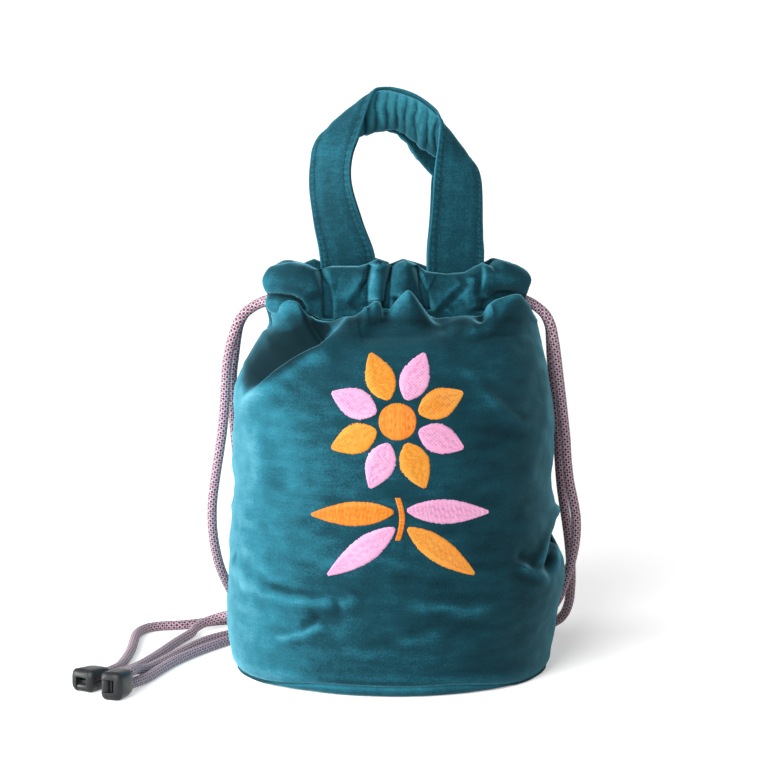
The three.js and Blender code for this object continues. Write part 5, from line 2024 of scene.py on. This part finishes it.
@dataclass
class Embroidery:
    """A generic flower over two pairs of leaves, in orange and pink satin stitch."""

    flower_height: float = 155.0
    petals: int = 8
    petal_start: float = 12.5
    petal_length: float = 27.0
    petal_half: float = 8.6
    centre: float = 10.5
    stem_half: float = 1.7
    stem_length: float = 24.0
    leaf_length: float = 46.0
    leaf_half: float = 7.2

    def build(self, finishes: Finishes, front: Piece) -> None:
        """Makes every patch on the front panel.

        Args:
            finishes: the bag's materials.
            front: the front panel, which the stitches lie on.
        """
        ground = BVHTree.FromObject(front, bpy.context.evaluated_depsgraph_get())
        light = (finishes.light_orange, "light_orange_thread")
        deep = (finishes.deep_orange, "deep_orange_thread")
        pink = (finishes.pink, "pink_thread")
        patches = []
        for k in range(self.petals):
            angle = (k + 0.5) * 2 * math.pi / self.petals
            start = (self.petal_start * math.cos(angle),
                     self.flower_height + self.petal_start * math.sin(angle))
            outline = self._pointed(start, angle, self.petal_length, self.petal_half)
            patches.append(Patch(f"embroidered_petal_{k + 1}", outline, self.petal_length,
                                 *(pink if k % 2 else light)))
        patches.append(Patch("embroidered_flower_centre", self._disc, 2 * self.centre, *deep))
        stem_top = self.flower_height - self.petal_start - self.petal_length - 2
        patches.append(Patch("embroidered_stem", lambda u, v: (
            2.5 * np.sin(math.pi * u) + (2 * v - 1) * self.stem_half,
            stem_top - u * self.stem_length), self.stem_length, *deep))
        leaves = ((5, 7, -4, pink), (-2, 8, 184, deep), (5.5, 17, -36, light),
                  (-1.5, 17, 216, pink))
        for k, (x, drop, angle, thread) in enumerate(leaves):
            outline = self._pointed((x, stem_top - drop), math.radians(angle), self.leaf_length,
                                    self.leaf_half)
            patches.append(Patch(f"embroidered_leaf_{k + 1}", outline, self.leaf_length, *thread))
        for k, patch in enumerate(patches):
            patch.build(ground, k)
            log.info("stitched %s", patch.name)

    @staticmethod
    def _pointed(start: Pair, angle: float, length: float, half_width: float) -> Outline:
        """A petal or leaf along a straight axis, with a blunt last stitch at each end.

        Args:
            start: where its axis starts, as the way across and the height.
            angle: its axis's way, in radians from the right upwards.
            length: the axis's length in millimetres.
            half_width: half its greatest width in millimetres.

        Returns:
            Its outline.
        """
        cos, sin = math.cos(angle), math.sin(angle)

        def outline(u: Array, v: Array) -> tuple[Array, Array]:
            """Gives the outline's places.

            Args:
                u: the shares along it.
                v: the shares across it.

            Returns:
                The way across the bag and the height.
            """
            swell = np.sin(math.pi * np.clip(u, 0, 1) ** 0.85) ** 0.9
            half = 0.7 + (half_width - 0.7) * np.nan_to_num(swell)
            along, across = u * length, (2 * v - 1) * half
            return start[0] + along * cos - across * sin, start[1] + along * sin + across * cos

        return outline

    def _disc(self, u: Array, v: Array) -> tuple[Array, Array]:
        """The flower's round centre, as a square drawn out to a circle.

        Args:
            u: the shares across it.
            v: the shares up it.

        Returns:
            The way across the bag and the height.
        """
        a, b = 2 * u - 1, np.clip(2 * v - 1, -1, 1)
        return (self.centre * a * np.sqrt(1 - b * b / 2),
                self.flower_height + self.centre * b * np.sqrt(1 - a * a / 2))


# ---- the finished scene


def main() -> None:
    """Builds the bag and its studio, piece by piece."""
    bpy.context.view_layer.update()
    ProductCamera().place()
    Studio().build()
    finishes = Finishes()
    Drawstrings().build(finishes)
    wall = Wall(front_folds=FRONT_FOLDS, back_folds=BACK_FOLDS, front_crest=FRONT_CREST,
                back_crest=BACK_CREST)
    front = BagWall(wall).build(finishes)
    Base(wall).build(finishes)
    Casing(Side.FRONT, CASING_FRONT_LINES, CASING_FRONT_TOP, CASING_FRONT_FOOT).build(finishes)
    Casing(Side.BACK, CASING_BACK_LINES, CASING_BACK_TOP).build(finishes)
    Handle(Side.FRONT).build(finishes)
    Handle(Side.BACK).build(finishes)
    CordEnds().build(finishes)
    Embroidery().build(finishes, front)


if __name__ == "__main__":
    main()
